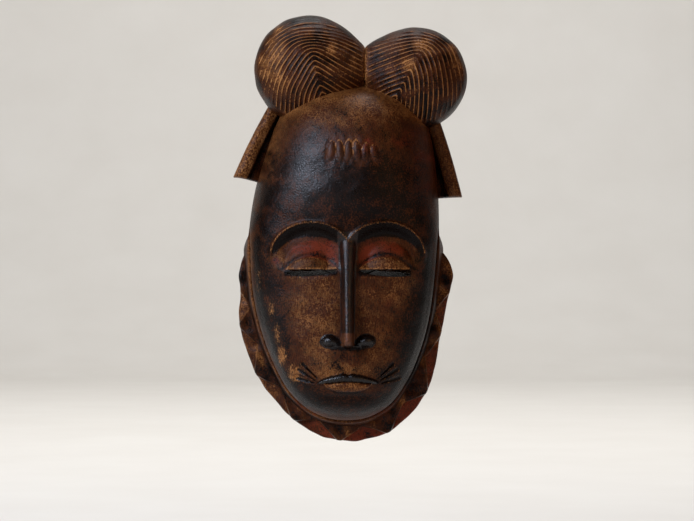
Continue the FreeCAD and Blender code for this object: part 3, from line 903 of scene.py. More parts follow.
    # -------- carving
    def eye_arch(self, x: np.ndarray, z: np.ndarray) -> np.ndarray:
        """Share of the way out from the nearer eye's middle to its brow."""
        across = (np.abs(x - FACE_X) - EYE_SPACING) / self.brow_half_width
        up = z - self.arch_level
        return np.hypot(across, up / np.where(up > 0, self.brow_height, self.brow_drop))

    def sockets(self, x: np.ndarray, z: np.ndarray) -> np.ndarray:
        """Relief of the brows' crests and the hollows under them.

        Args:
            x: Places across.
            z: Places in height.

        Returns:
            Heights over the uncarved head.
        """
        arch, up = self.eye_arch(x, z), z - self.arch_level
        above = ease(-2.0, 16.0, up)
        sharp, soft = ease(1.0, 0.66, arch), ease(1.0, 0.3, arch)
        crest = self.brow_crest * bell(arch - 1.02, 0.04) * ease(-7.0, 4.0, up)
        return crest - self.socket_drop * (above * sharp + (1 - above) * soft)

    def lens_share(self, from_eye: np.ndarray, z: np.ndarray) -> np.ndarray:
        """Share of the way out over the flat lens cut in a lid above its slit."""
        up = (z - self.eye_level) / self.lens_rise
        return np.sqrt(np.maximum((from_eye / self.lens_half_width) ** 2 + up, 0.0))

    def lid_share(self, from_eye: np.ndarray, z: np.ndarray) -> np.ndarray:
        """Share of the way out from the middle of a lid's foot to its border."""
        return np.hypot(from_eye / self.lid_half_width, (z - self.eye_level) / self.lid_height)

    def lids(self, x: np.ndarray, z: np.ndarray) -> np.ndarray:
        """Front of the closed lids.

        Args:
            x: Places across.
            z: Places in height.

        Returns:
            Distances from the wall, far behind the face where there is no lid.
        """
        from_eye = np.abs(x - FACE_X) - EYE_SPACING
        share, lens = self.lid_share(from_eye, z), self.lens_share(from_eye, z)
        front = self.lid_front - self.lid_depth * (1 - dome(share))
        front = front + self.lens_swell * dome(lens) - self.lens_groove * bell(lens - 1.1, 0.09)
        return np.where((share < 1) & (z > self.eye_level - 0.7), front, NOWHERE)

    def nose(self, x: np.ndarray, z: np.ndarray) -> np.ndarray:
        """Front of the nose's ridge.

        Args:
            x: Places across.
            z: Places in height.

        Returns:
            Distances from the wall, far behind the face beside the nose.
        """
        width = glide(z, ((self.nose_tip, 5.4), (-150.0, 6.4), (-112.0, 8.6)))
        across = x - FACE_X
        rise = glide(z, self.nose_line) - self.nose_foot
        ridge = self.nose_foot + rise * dome(across / width, 2.7)
        return np.where((z > self.nose_end) & (z < self.nose_top) & (np.abs(across) < width), ridge, NOWHERE)

    def wing_share(self, x: np.ndarray, z: np.ndarray) -> np.ndarray:
        """Share of the way out from the middle of the nearer wing, which narrows towards the nose."""
        out = np.abs(x - FACE_X) - self.wing_spacing
        drop = 0.18 * np.minimum(out, 0)
        return np.hypot(out / self.wing_half_width, (z - self.wing_level - drop) / (5.4 + 0.05 * out))

    def wings(self, x: np.ndarray, z: np.ndarray) -> np.ndarray:
        """Front of the two round wings of the nose and the bar that joins them.

        Args:
            x: Places across.
            z: Places in height.

        Returns:
            Distances from the wall, far behind the face where there is neither.
        """
        share = self.wing_share(x, z)
        front = np.where(share < 1, self.wing_front + self.wing_swell * dome(share), NOWHERE)
        past = np.maximum(np.abs(x - FACE_X) - self.bar_half_width, 0)
        bar = np.hypot(past / 2.5, (z - self.wing_level + 4.2) / 2.0)
        return np.where(bar < 1, np.maximum(front, self.bar_front + self.bar_swell * dome(bar)), front)

    def lip_shares(self, x: np.ndarray, z: np.ndarray) -> tuple[np.ndarray, np.ndarray]:
        """Shares of the way from the middle of each lip to its border.

        Args:
            x: Places across.
            z: Places in height.

        Returns:
            Shares over the upper and the lower lip, large beside them.
        """
        across = x - FACE_X
        parting = self.parting_level + 1.6 * bell(across, 13.0)
        peak = parting + self.upper_lip_height * dome(across / self.upper_lip_half_width, 1.9)
        peak = peak - 1.3 * bell(across, 2.0)
        foot = parting - self.lower_lip_height * dome(across / self.lower_lip_half_width, 1.8)
        upper = np.abs(z - (peak + parting) / 2) / np.maximum((peak - parting) / 2, 0.5)
        lower = np.abs(z - (parting + foot) / 2) / np.maximum((parting - foot) / 2, 0.5)
        return (
            np.where(np.abs(across) < self.upper_lip_half_width, upper, FAR_SHARE),
            np.where(np.abs(across) < self.lower_lip_half_width + 0.5, lower, FAR_SHARE),
        )

    def cuts(self, x: np.ndarray, z: np.ndarray, width: float) -> np.ndarray:
        """The fans of cuts beside the mouth's corners.

        Args:
            x: Places across.
            z: Places in height.
            width: Width of a cut.

        Returns:
            1 in the middle of a cut, falling to 0 beside it.
        """
        across = np.abs(x - FACE_X)
        widen = width * (0.6 + 0.9 * ease(26.0, 42.0, across))
        lines = [bell(to_segment(across, z, line) / widen, 1.0) for line in self.notch_lines]
        return np.maximum.reduce(lines)

    def scars(self, x: np.ndarray, z: np.ndarray) -> np.ndarray:
        """The row of beads on the forehead.

        Args:
            x: Places across.
            z: Places in height.

        Returns:
            Share of the way out from the middle of the nearest bead.
        """
        nearest = np.full_like(x, FAR_SHARE)
        from_middle = (len(self.scar_tilts) - 1) / 2
        for step, lean in enumerate(self.scar_tilts):
            middle = FACE_X + 4 + (step - from_middle) * self.scar_pitch
            tilt = lean * (z - self.scar_level)
            up = (z - self.scar_level + self.scar_drops[step]) / self.scar_heights[step]
            nearest = np.minimum(nearest, np.hypot((x - middle - tilt) / self.scar_half_width, up))
        return nearest

    def front(self, x: np.ndarray, z: np.ndarray) -> np.ndarray:
        """How far the carved front stands off the wall.

        Args:
            x: Places across.
            z: Places in height.

        Returns:
            Distances from the wall.
        """
        turn, distance = self.polar(x, z)
        reach = self.reach(turn)
        inner = ease(1.0, 0.9, distance / reach)
        surface = self.blank(x, z) + inner * (0.35 * ripple(x, z, 30.0, 3) + 0.05 * ripple(x, z, 8.0, 4))
        surface = surface + 1.6 * laid(x, z, (Patch(FACE_X, -230.0, 30.0, 20.0, 1.0),))
        surface = surface + self.sockets(x, z)
        surface = join_high(surface, self.lids(x, z), 0.7)
        surface = join_high(surface, self.nose(x, z), 1.0)
        surface = join_high(surface, self.wings(x, z), 0.7)
        upper, lower = self.lip_shares(x, z)
        surface = surface + self.upper_lip_swell * dome(upper) + self.lower_lip_swell * dome(lower)
        surface = surface - self.fan_cut_depth * self.cuts(x, z, self.fan_cut_width)
        fold = bell(z - self.chin_fold, 2.4) * ease(30.0, 10.0, np.abs(x - FACE_X))
        surface = surface - self.chin_fold_depth * fold
        beads = self.scars(x, z)
        surface = surface - 0.5 * ease(1.9, 1.0, beads) + self.scar_swell * dome(beads)
        return surface - self.rim_groove_depth * bell(reach - distance - 5.0, 2.2) * self.jaw(z)

    # -------- mesh
    def face_sheet(self) -> bmesh.types.BMesh:
        """The front surface as a sheet whose cells are finest where the head turns back.

        Returns:
            The open sheet.
        """
        mesh, across, up = flat_grid(self.columns, self.rows)
        disc_x, disc_z = across * np.sqrt(1 - up**2 / 2), up * np.sqrt(1 - across**2 / 2)
        turn = np.arctan2(disc_z * self.half_height, disc_x * self.half_width)
        share = np.minimum(np.hypot(disc_x, disc_z), 1.0)
        share = share + 0.5 * (np.sin(share * math.pi / 2) - share)
        reach = self.reach(turn)
        z_rim = HEAD_CENTRE[1] + reach * np.sin(turn)
        x, z = self.place(turn, share * (reach - 0.9 * self.bead_radius(z_rim)))
        place_verts(mesh.verts, np.stack([x, -self.front(x, z), z], axis=1))
        return mesh

    def bead_radius(self, z: np.ndarray) -> np.ndarray:
        """Radius of the ridge round the face, next to nothing beside the forehead."""
        return self.temple_bead + (self.bead - self.temple_bead) * self.jaw(z)

    def hollow_reach(self, turn: np.ndarray) -> np.ndarray:
        """Distance from the middle of the head to the mouth of the hollow.

        Args:
            turn: Turns about the middle of the head.

        Returns:
            Distances.
        """
        up, down = self.hollow_top - HEAD_CENTRE[1], HEAD_CENTRE[1] - self.hollow_bottom
        sine = np.sin(turn)
        flat = np.where(sine > 0, up, down) / np.maximum(np.abs(sine), 0.05)
        return join_low(self.reach(turn) - self.side_wall, flat, self.hollow_rounding)

    def carry_edge(self, mesh: bmesh.types.BMesh) -> tuple[list, np.ndarray]:
        """Carries the open edge on by one ring of faces.

        Args:
            mesh: The head so far.

        Returns:
            The new ring's vertices and their turns about the middle of the head.
        """
        verts = new_verts(bmesh.ops.extrude_edge_only(mesh, edges=open_edges(mesh))["geom"])
        places = vertex_rows(verts)
        return verts, self.polar(places[:, 0], places[:, 2])[0]

    def ring(self, mesh: bmesh.types.BMesh, out: float, spread: float, forward: float, share: float) -> None:
        """Carries the open edge on by one ring of the bead or of the wall behind it.

        Args:
            mesh: The head so far.
            out: Step out from the outline in bead radii.
            spread: Step out from the outline in mm, at the jaw.
            forward: Step in front of the rim in bead radii.
            share: Share of the rim's depth to keep, from the rim (1) to the wall (0).
        """
        verts, turn = self.carry_edge(mesh)
        reach = self.reach(turn)
        z_rim = HEAD_CENTRE[1] + reach * np.sin(turn)
        bead, jaw = self.bead_radius(z_rim), self.jaw(z_rim)
        foot = self.wall_foot * jaw * (share > 0)
        depth = share * (self.rim_depth(z_rim) - foot) + foot + forward * bead
        x, z = self.place(turn, reach + out * bead + spread * jaw)
        place_verts(verts, np.stack([x, -depth, z], axis=1))

    def hollow_ring(self, mesh: bmesh.types.BMesh, share: float) -> list:
        """Carries the open edge on by one ring inside the hollow.

        Args:
            mesh: The head so far.
            share: Share of the way out from the deepest place to the hollow's mouth.

        Returns:
            The ring's vertices.
        """
        verts, turn = self.carry_edge(mesh)
        x, z = self.place(turn, share * self.hollow_reach(turn))
        depth = (self.blank(x, z) - self.front_wall) * dome(np.full_like(x, share), 2.6)
        depth = depth + (0.8 * ripple(x, z, 26.0, 8)) * (share < 1)
        place_verts(verts, np.stack([x, -depth, z], axis=1))
        return verts

    def shape(self) -> bpy.types.Object:
        """Makes the closed head with the eyes' slits and the hanger's seat cut.

        Returns:
            The head as an object.
        """
        mesh = self.face_sheet()
        for angle in range(150, -31, -30):
            self.ring(mesh, math.cos(math.radians(angle)), 0.0, math.sin(math.radians(angle)), 1.0)
        for share in (0.75, 0.5, 0.25, 0.01):
            self.ring(mesh, 0.6 * share, self.wall_spread * (1 - share), 0.0, share)
        self.ring(mesh, 0.0, self.wall_spread, 0.0, 0.0)
        for share in (1.0, 0.985, 0.94, 0.86, 0.74, 0.58, 0.4, 0.2):
            self.hollow_ring(mesh, share)
        last = self.hollow_ring(mesh, 0.04)
        middle = sum((vert.co for vert in last), Vector()) / len(last)
        bmesh.ops.pointmerge(mesh, verts=self.hollow_ring(mesh, 0.02), merge_co=middle)
        bmesh.ops.recalc_face_normals(mesh, faces=mesh.faces)
        piece = as_object(mesh, "head")
        carve_away(piece, self.slit_cutters() + HangerSeat().cutters())
        return piece

    def slit_cutters(self) -> list[bpy.types.Object]:
        """The two eye slits as bars with a flat top, a curved foot and sharp ends.

        Returns:
            One cutter for each eye.
        """
        made = []
        for side in Side:
            mesh = round_bar(1.0, 1.0, 64)
            cut_off(mesh, (0, 0, 0), (0, 0, 1))
            size = (self.slit_half_width, self.slit_reach, self.slit_height)
            bmesh.ops.scale(mesh, vec=size, verts=mesh.verts)
            slope = Matrix.Identity(4)
            slope[2][1] = -self.slit_slope
            bmesh.ops.transform(mesh, matrix=slope, verts=mesh.verts)
            place = (FACE_X + side * EYE_SPACING, -self.lid_front, self.eye_level - self.slit_drop)
            bmesh.ops.translate(mesh, vec=place, verts=mesh.verts)
            bmesh.ops.recalc_face_normals(mesh, faces=mesh.faces)
            made.append(as_object(mesh, "slit"))
        return made

    # -------- tones
    def tones(self, piece: bpy.types.Object) -> dict[Tone, np.ndarray]:
        """Where the head is sooty, bare, red, worn, oiled or raw, with painted shade in the eye slits, round
        the lenses and under the nose and lower lip, and painted highlights on the lids' lower edges and the
        beads.

        Args:
            piece: The head.

        Returns:
            A value for each vertex, by tone.
        """
        x, y, z = read_points(piece.data).T / MM
        to_rim = self.to_rim(x, z)
        behind = (-y < self.blank(x, z) - 11) & (to_rim > 3)
        raw = behind | (y > -0.4)
        mottle = ripple(x, z, 15.0, 9) + 0.6 * ripple(x, z, 6.0, 10)
        skin = Skin(
            x=x,
            z=z,
            soot_and_shade=0.14 + laid(x, z, self.SOOT_AND_SHADE) + 0.06 * mottle,
            bare=laid(x, z, self.BARE) - 0.05 * mottle,
            red=-0.45 + laid(x, z, self.RED) + 0.15 * ripple(x, z, 12.0, 11),
            worn=laid(x, z, self.WEAR_AND_HIGHLIGHT),
            oiled=laid(x, z, self.OILED),
        )
        for lay in (self.tone_brows, self.tone_nose, self.tone_mouth, self.tone_forehead, self.tone_lids):
            lay(skin)
        # The eye slits' insides are painted black as shade, with bare, red and worn taken out and no sheen,
        # so the openings read dark.
        fall = z - self.eye_level + self.slit_slope * (y + self.lid_front)
        in_slit = (np.abs(np.abs(x - FACE_X) - EYE_SPACING) < self.slit_half_width + 1.0) & (fall < 0.3)
        in_slit = in_slit & (fall > -self.slit_height - 1.0) & (-y < self.front(x, z) - 0.8)
        skin.soot_and_shade = np.where(in_slit, 2.0, skin.soot_and_shade)
        skin.bare, skin.red, skin.worn = (
            np.where(in_slit, -1.0, tone) for tone in (skin.bare, skin.red, skin.worn)
        )
        self.tone_rim(skin, to_rim)
        raw = np.where(in_slit, 0.0, raw)
        return {
            Tone.SOOT_AND_SHADE: np.where(raw > 0.5, RAW_SOOT, skin.soot_and_shade),
            Tone.BARE: skin.bare,
            Tone.RED: np.where(raw > 0.5, -1.0, skin.red),
            Tone.WEAR_AND_HIGHLIGHT: skin.worn * (1 - raw),
            Tone.RAW: raw,
            Tone.OILED: np.where(in_slit, -1.0, skin.oiled * (1 - raw)),
        }

    def tone_brows(self, skin: Skin) -> None:
        """Lays a black arch under each brow and rubs the brow's crest."""
        arch = self.eye_arch(skin.x, skin.z)
        from_eye = np.abs(skin.x - FACE_X) - EYE_SPACING
        under_brow = np.hypot(from_eye / 29.5, (skin.z - self.arch_level) / 16.5)
        band = ease(1.0, 0.97, arch) * ease(0.92, 1.05, under_brow) * ease(-131.0, -117.0, skin.z)
        skin.soot_and_shade = skin.soot_and_shade + 1.2 * band
        skin.red = skin.red - 1.0 * band
        skin.worn = skin.worn + 0.62 * bell(arch - 1.015, 0.03) * ease(-134.0, -124.0, skin.z)

    def tone_nose(self, skin: Skin) -> None:
        """Lays oily black on the nose's ridge and wings, paints shade in a line under the nose, and leaves
        its tip rubbed.
        """
        across, z = np.abs(skin.x - FACE_X), skin.z
        nose = (across < glide(z, ((-204.0, 5.6), (-150.0, 6.6), (-112.0, 8.4)))) & (z < -108) & (z > -204)
        tip = nose & (z < -192)
        skin.soot_and_shade = np.where(tip, -0.1, np.where(nose, 0.75, skin.soot_and_shade))
        skin.bare = np.where(tip, 0.25, np.where(nose, -0.3, skin.bare))
        skin.red = np.where(tip, 0.1, np.where(nose, -0.3, skin.red))
        on_wings = ease(1.2, 1.0, self.wing_share(skin.x, z))
        # Painted shade in a line under the nose.
        under = bell(z + 204.4, 1.9) * ease(17.0, 12.0, across)
        skin.soot_and_shade = skin.soot_and_shade + 1.3 * np.maximum(on_wings, under)
        skin.oiled = np.maximum.reduce([skin.oiled, on_wings, 1.0 * nose])

    def tone_mouth(self, skin: Skin) -> None:
        """Lays black on the upper lip, brown on the lower one, black in the cuts beside them and painted
        shade in a line under the lower lip.
        """
        x, z = skin.x, skin.z
        upper, lower = self.lip_shares(x, z)
        on_upper = ease(1.15, 0.9, upper)
        # Painted shade in a line under the lower lip.
        skin.soot_and_shade = skin.soot_and_shade + 0.8 * bell(lower - 1.15, 0.15) * (z < -238)
        skin.soot_and_shade = skin.soot_and_shade + 1.4 * on_upper - 1.2 * ease(1.1, 0.8, lower)
        skin.bare = skin.bare + 0.3 * ease(1.1, 0.7, lower)
        fan = self.cuts(x, z, 1.1)
        skin.soot_and_shade = skin.soot_and_shade + 0.9 * fan
        skin.worn = skin.worn + 0.5 * ease(0.25, 0.5, self.cuts(x, z, 1.8)) * (1 - fan)
        skin.oiled = np.maximum(skin.oiled, on_upper)

    def tone_forehead(self, skin: Skin) -> None:
        """Rubs the hairline, paints a highlight along the upper edges of the beads, and reddens the wood
        round the beads.
        """
        x, z = skin.x, skin.z
        hairline = to_segment(x, z, self.hairline)
        skin.bare = skin.bare + 0.35 * bell(hairline, 6.0)
        skin.worn = skin.worn + 0.42 * bell(hairline, 3.2)
        bead = self.scars(x, z)
        in_row = ease(1.9, 1.3, bead)
        skin.soot_and_shade = skin.soot_and_shade - 0.35 * in_row
        skin.red = skin.red + 0.3 * in_row
        # A painted highlight on the upper edges of the beads, brightest near the middle of the row, laid with
        # the worn tone.
        lit = ease(-49.0, -40.0, z) * (1.15 - 0.035 * np.abs(x - 2))
        skin.worn = skin.worn + lit * ease(0.92, 1.02, bead) * ease(1.25, 1.1, bead)

    def tone_lids(self, skin: Skin) -> None:
        """Reddens the lids, paints shade in the grooves round their lenses and across the slits, a highlight
        along the lids' lower edges and a light line along the cheeks' edges under the slits.
        """
        up = skin.z - self.eye_level
        from_eye = np.abs(skin.x - FACE_X) - EYE_SPACING
        above_slit = up > -1
        lens = self.lens_share(from_eye, skin.z)
        on_lens = ease(1.0, 0.92, lens) * above_slit
        on_lid = ease(1.02, 0.95, self.lid_share(from_eye, skin.z)) * above_slit
        # Painted shade in the groove round each lens, with the lids a little less sooty and the lenses a
        # little more.
        skin.soot_and_shade = skin.soot_and_shade - 0.25 * on_lid + 0.7 * bell(lens - 1.14, 0.1) * above_slit + 0.3 * on_lens
        # Painted shade across the front of each slit.
        skin.soot_and_shade = skin.soot_and_shade + 1.2 * bell(up + 3.2, 2.2) * ease(23.0, 21.0, np.abs(from_eye))
        skin.red = skin.red + 0.3 * on_lid - 1.0 * on_lens
        skin.bare = skin.bare + 0.3 * on_lens
        skin.worn = skin.worn + 0.5 * bell(lens - 0.98, 0.06) * above_slit
        # A painted highlight along each lid's lower edge, over its slit.
        skin.worn = skin.worn + 0.75 * bell(up - 0.3, 0.9) * (np.abs(from_eye) < self.lens_half_width)
        # A light line along the cheek's edge under each slit.
        skin.worn = skin.worn + 0.4 * bell(up + 7.2, 1.4) * ease(23.0, 18.0, np.abs(from_eye))

    def tone_rim(self, skin: Skin, to_rim: np.ndarray) -> None:
        """Rubs the ridge round the jaw, darkens the groove inside it and tones the wall outside it.

        Args:
            skin: Tones to change.
            to_rim: How far inside the outline each vertex is.
        """
        jaw, left = self.jaw(skin.z), ease(20.0, -20.0, skin.x)
        ridge = bell(to_rim + 0.3, 2.6) * jaw
        wall = ease(1.5, 3.5, -to_rim) * jaw
        skin.bare = skin.bare + ridge * (0.1 + 0.25 * left)
        skin.soot_and_shade = skin.soot_and_shade + 0.5 * bell(to_rim - 7.5, 3.0) * jaw - ridge * (0.2 + 0.45 * left)
        skin.bare = skin.bare + wall * (0.3 * ease(0.0, 40.0, skin.x) - 0.2)
        skin.soot_and_shade = skin.soot_and_shade + wall * (0.45 * left + 0.1)

    SOOT_AND_SHADE = (
        Patch(-22.0, -64.0, 56.0, 32.0, 0.7), Patch(36.0, -80.0, 40.0, 34.0, 0.38),
        Patch(0.0, -100.0, 52.0, 12.0, 0.25), Patch(-72.0, -92.0, 12.0, 22.0, 0.3),
        Patch(-72.0, -120.0, 14.0, 40.0, 0.4), Patch(-60.0, -130.0, 7.0, 11.0, -0.3),
        Patch(-64.0, -184.0, 19.0, 46.0, 0.6), Patch(66.0, -195.0, 16.0, 52.0, 0.8),
        Patch(2.0, -250.0, 52.0, 9.0, 0.6), Patch(44.0, -228.0, 20.0, 16.0, 0.55),
        Patch(-44.0, -240.0, 20.0, 14.0, 0.5), Patch(-9.0, -216.0, 6.5, 10.0, 0.34),
        Patch(7.5, -216.0, 6.5, 10.0, 0.34), Patch(66.0, -120.0, 10.0, 30.0, 0.3),
        Patch(-34.0, -176.0, 26.0, 30.0, -0.1), Patch(-20.0, -214.0, 17.0, 22.0, 0.1),
        Patch(46.0, -196.0, 16.0, 30.0, 0.35),
    )
    BARE = (
        Patch(6.0, -6.0, 66.0, 17.0, 0.45), Patch(-66.0, -28.0, 12.0, 34.0, 0.5),
        Patch(-34.0, -172.0, 26.0, 30.0, 0.38), Patch(-20.0, -214.0, 17.0, 22.0, 0.5),
        Patch(26.0, -172.0, 26.0, 28.0, 0.22), Patch(24.0, -210.0, 20.0, 20.0, 0.36),
        Patch(46.0, -150.0, 14.0, 18.0, 0.3), Patch(FACE_X, -225.0, 26.0, 8.0, 0.4),
        Patch(-60.0, -130.0, 7.0, 11.0, 0.55), Patch(57.0, -130.0, 6.0, 10.0, 0.3),
        Patch(-78.0, -100.0, 8.0, 50.0, 0.35),
    )
    RED = (
        Patch(-32.0, -122.0, 24.0, 11.0, 0.85), Patch(30.0, -122.0, 24.0, 11.0, 0.75),
        Patch(-62.0, -133.0, 5.0, 4.0, 0.9), Patch(-14.0, -126.0, 6.0, 14.0, 0.9),
        Patch(12.0, -126.0, 6.0, 14.0, 0.8), Patch(-30.0, -228.0, 6.0, 7.0, 0.7),
        Patch(46.0, -56.0, 30.0, 44.0, 0.55), Patch(66.0, -60.0, 12.0, 60.0, 0.4),
        Patch(0.0, -20.0, 60.0, 22.0, 0.3), Patch(30.0, -172.0, 24.0, 34.0, 0.42),
        Patch(-40.0, -256.0, 40.0, 12.0, 0.7), Patch(30.0, -254.0, 34.0, 12.0, 0.7),
    )
    OILED = (
        Patch(-30.0, -58.0, 44.0, 34.0, 0.75), Patch(-66.0, -186.0, 12.0, 34.0, 0.3),
    )
    WEAR_AND_HIGHLIGHT = (
        Patch(-65.0, -172.0, 3.5, 8.0, 0.5), Patch(-60.0, -194.0, 3.0, 10.0, 0.5),
        Patch(-56.0, -212.0, 4.0, 9.0, 0.7), Patch(-47.0, -226.0, 5.0, 9.0, 0.6),
        Patch(-76.0, -150.0, 3.0, 14.0, 0.35),
    )


@dataclass
class HangerSeat:
    """The recess in the flat back that takes the hanger, with its screws' holes."""

    mouth: float = 6.0
    rounding: float = 0.6
    bore_overlap: float = 0.5
    half_width: float = 15.0
    top: float = 9.0
    bottom: float = -39.0
    depth: float = 9.0
    bore_levels: tuple[float, float] = (-21.1, -33.1)
    bore_radius: float = 1.52
    bore_depth: float = 12.0

    def cutters(self) -> list[bpy.types.Object]:
        """The recess and the two holes to cut.

        Returns:
            Cutters in the order they are used.
        """
        low, high = (-self.half_width, -self.depth, self.bottom), (self.half_width, self.mouth, self.top)
        made = [box_cutter(low, high, self.rounding)]
        middle = -self.depth - self.bore_depth / 2 + self.bore_overlap
        for level in self.bore_levels:
            mesh = round_bar(self.bore_radius, self.bore_depth, 32)
            bmesh.ops.translate(mesh, vec=(0, middle, level), verts=mesh.verts)
            made.append(as_object(mesh, "bore"))
        return made


# ---------------------------------------------------------------- the hair
@dataclass
class Bun(Carving):
    """One rounded bun of hair, drawn out towards its twin and scored with a chevron of cuts."""

    name: str
    x: float
    z: float
    radius: float
    side: Side
    pull: float
    pull_turn: float
    pull_width: float
    inner_slope: float
    arc_centre: tuple[float, float]
    peak: tuple[float, float]
    bare: tuple[Patch, ...]
    soot_and_shade: tuple[Patch, ...]
    centre_depth: float = 26.0
    flattening: float = 0.9
    crease_x: float = 13.5
    crease_round: float = 1.6
    pitch: float = 3.9
    cut_depth: float = 0.95
    flat_back: float = -0.15
    cells: int = 118

    def phase(self, x: np.ndarray, z: np.ndarray) -> np.ndarray:
        """Which cut a place is at, counted across the cuts.

        Args:
            x: Places across.
            z: Places in height.

        Returns:
            Counts, whole in the middle of a cut.
        """
        slope = math.radians(self.inner_slope)
        sway = 0.1 * ripple(x, z, 30.0, 21 + self.side)
        across, up = x - self.peak[0], z - self.peak[1]
        inner = -self.side * across * math.sin(slope) + up * math.cos(slope)
        to_peak = math.hypot(self.peak[0] - self.arc_centre[0], self.peak[1] - self.arc_centre[1])
        outer = np.hypot(x - self.arc_centre[0], z - self.arc_centre[1]) - to_peak
        rounding = 1.5 + 30.0 * ease(self.peak[1] + 4.0, self.peak[1] + 34.0, z)
        return join_high(inner, outer, rounding) / self.pitch + sway

    def outline_share(self, x: np.ndarray, z: np.ndarray) -> np.ndarray:
        """Share of the way out from the bun's middle to its outline."""
        turn = np.arctan2(z - self.z, x - self.x)
        return np.hypot(x - self.x, z - self.z) / (self.radius * self.stretch(turn))

    def stretch(self, turn: np.ndarray) -> np.ndarray:
        """How much the outline is drawn out at a turn about the bun's middle."""
        away = np.angle(np.exp(1j * (turn - math.radians(self.pull_turn))))
        return 1 + self.pull * np.exp(-(away**2) / (2 * math.radians(self.pull_width) ** 2))

    def scored(self, x: np.ndarray, z: np.ndarray) -> np.ndarray:
        """How deep the cuts are.

        Args:
            x: Places across.
            z: Places in height.

        Returns:
            Depths, from 0 to about 1.
        """
        share = self.outline_share(x, z)
        near_crease = ease(1.0, 4.0, np.abs(x - self.crease_x))
        uneven = 0.8 + 0.25 * ripple(x, z, 14.0, 31 + self.side)
        return ease(0.93, 0.87, share) * near_crease * np.clip(uneven, 0.3, 1.1)

    def shape(self) -> bpy.types.Object:
        """Makes the closed bun with its cuts.

        Returns:
            The bun as an object.
        """
        mesh = bmesh.new()
        bmesh.ops.create_cube(mesh, size=2.0)
        bmesh.ops.subdivide_edges(mesh, edges=mesh.edges[:], cuts=self.cells, use_grid_fill=True)
        rows = vertex_rows(mesh.verts)
        rows = np.tan(rows * math.pi / 4)
        way = rows / np.linalg.norm(rows, axis=1)[:, None]
        turn = np.arctan2(way[:, 2], way[:, 0])
        flat = self.radius * self.stretch(turn)
        x = self.x + flat * way[:, 0]
        z = self.z + flat * way[:, 2]
        y = -self.centre_depth + self.radius * self.flattening * way[:, 1]
        edge = np.full_like(x, self.crease_x - 0.5 * self.side)
        x = join_low(x, edge, self.crease_round) if self.side < 0 else join_high(x, edge, self.crease_round)
        beat = 0.5 - 0.5 * np.cos(FULL_TURN * self.phase(x, z))
        cut = self.cut_depth * self.scored(x, z) * (1 - beat**3) * ease(0.0, 0.25, -way[:, 1])
        sink = 1 - cut / self.radius
        bumps = 1 + 0.003 * ripple(x, z, 22.0, 41 + self.side, y)
        x, z = self.x + (x - self.x) * (bumps * sink), self.z + (z - self.z) * (bumps * sink)
        y = -self.centre_depth + (y + self.centre_depth) * bumps * sink
        place_verts(mesh.verts, np.stack([x, y, z], axis=1))
        cut_off(mesh, (0, self.flat_back, 0), (0, 1, 0))
        bmesh.ops.recalc_face_normals(mesh, faces=mesh.faces)
        return as_object(mesh, self.name, sharp=60.0)

    def tones(self, piece: bpy.types.Object) -> dict[str, np.ndarray]:
        """Where the bun is sooty, bare, worn or raw, where its cuts run, and where light is painted on its
        middle and shade on its rim.

        Args:
            piece: The bun.

        Returns:
            A value for each vertex, by tone.
        """
        x, y, z = read_points(piece.data).T / MM
        raw = np.where(y > -0.4, 1.0, 0.0)
        share = self.outline_share(x, z)
        front = ease(-6.0, -26.0, y)
        bare = laid(x, z, self.bare)
        crease = bell(x - self.crease_x, 1.8)
        mottle = ripple(x, z, 16.0, 51 + self.side)
        # A painted pool of light over the bun's middle, which lightens its crests.
        lit = laid(x, z, (Patch(self.x, self.z, self.radius, self.radius, 1.0),))
        # Soot on the bun, with painted shade that darkens its rim where it turns away, and less in the
        # crease.
        soot_and_shade = 0.06 + 0.14 * mottle + laid(x, z, self.soot_and_shade) + 0.5 * ease(0.86, 0.95, share) - 0.6 * crease
        return {
            Tone.SOOT_AND_SHADE: np.where(raw > 0.5, RAW_SOOT, soot_and_shade),
            Tone.BARE: bare + 0.5 * crease - 0.06 * mottle,
            Tone.RED: -0.25 - 0.2 * mottle,
            Tone.WEAR_AND_HIGHLIGHT: 0.35 * crease - 0.12 * mottle - 0.12 + 0.1 * lit + 0.3 * bare,
            Tone.RAW: raw,
            Tone.PHASE: self.phase(x, z),
            Tone.SCORED: self.scored(x, z) * front,
        }


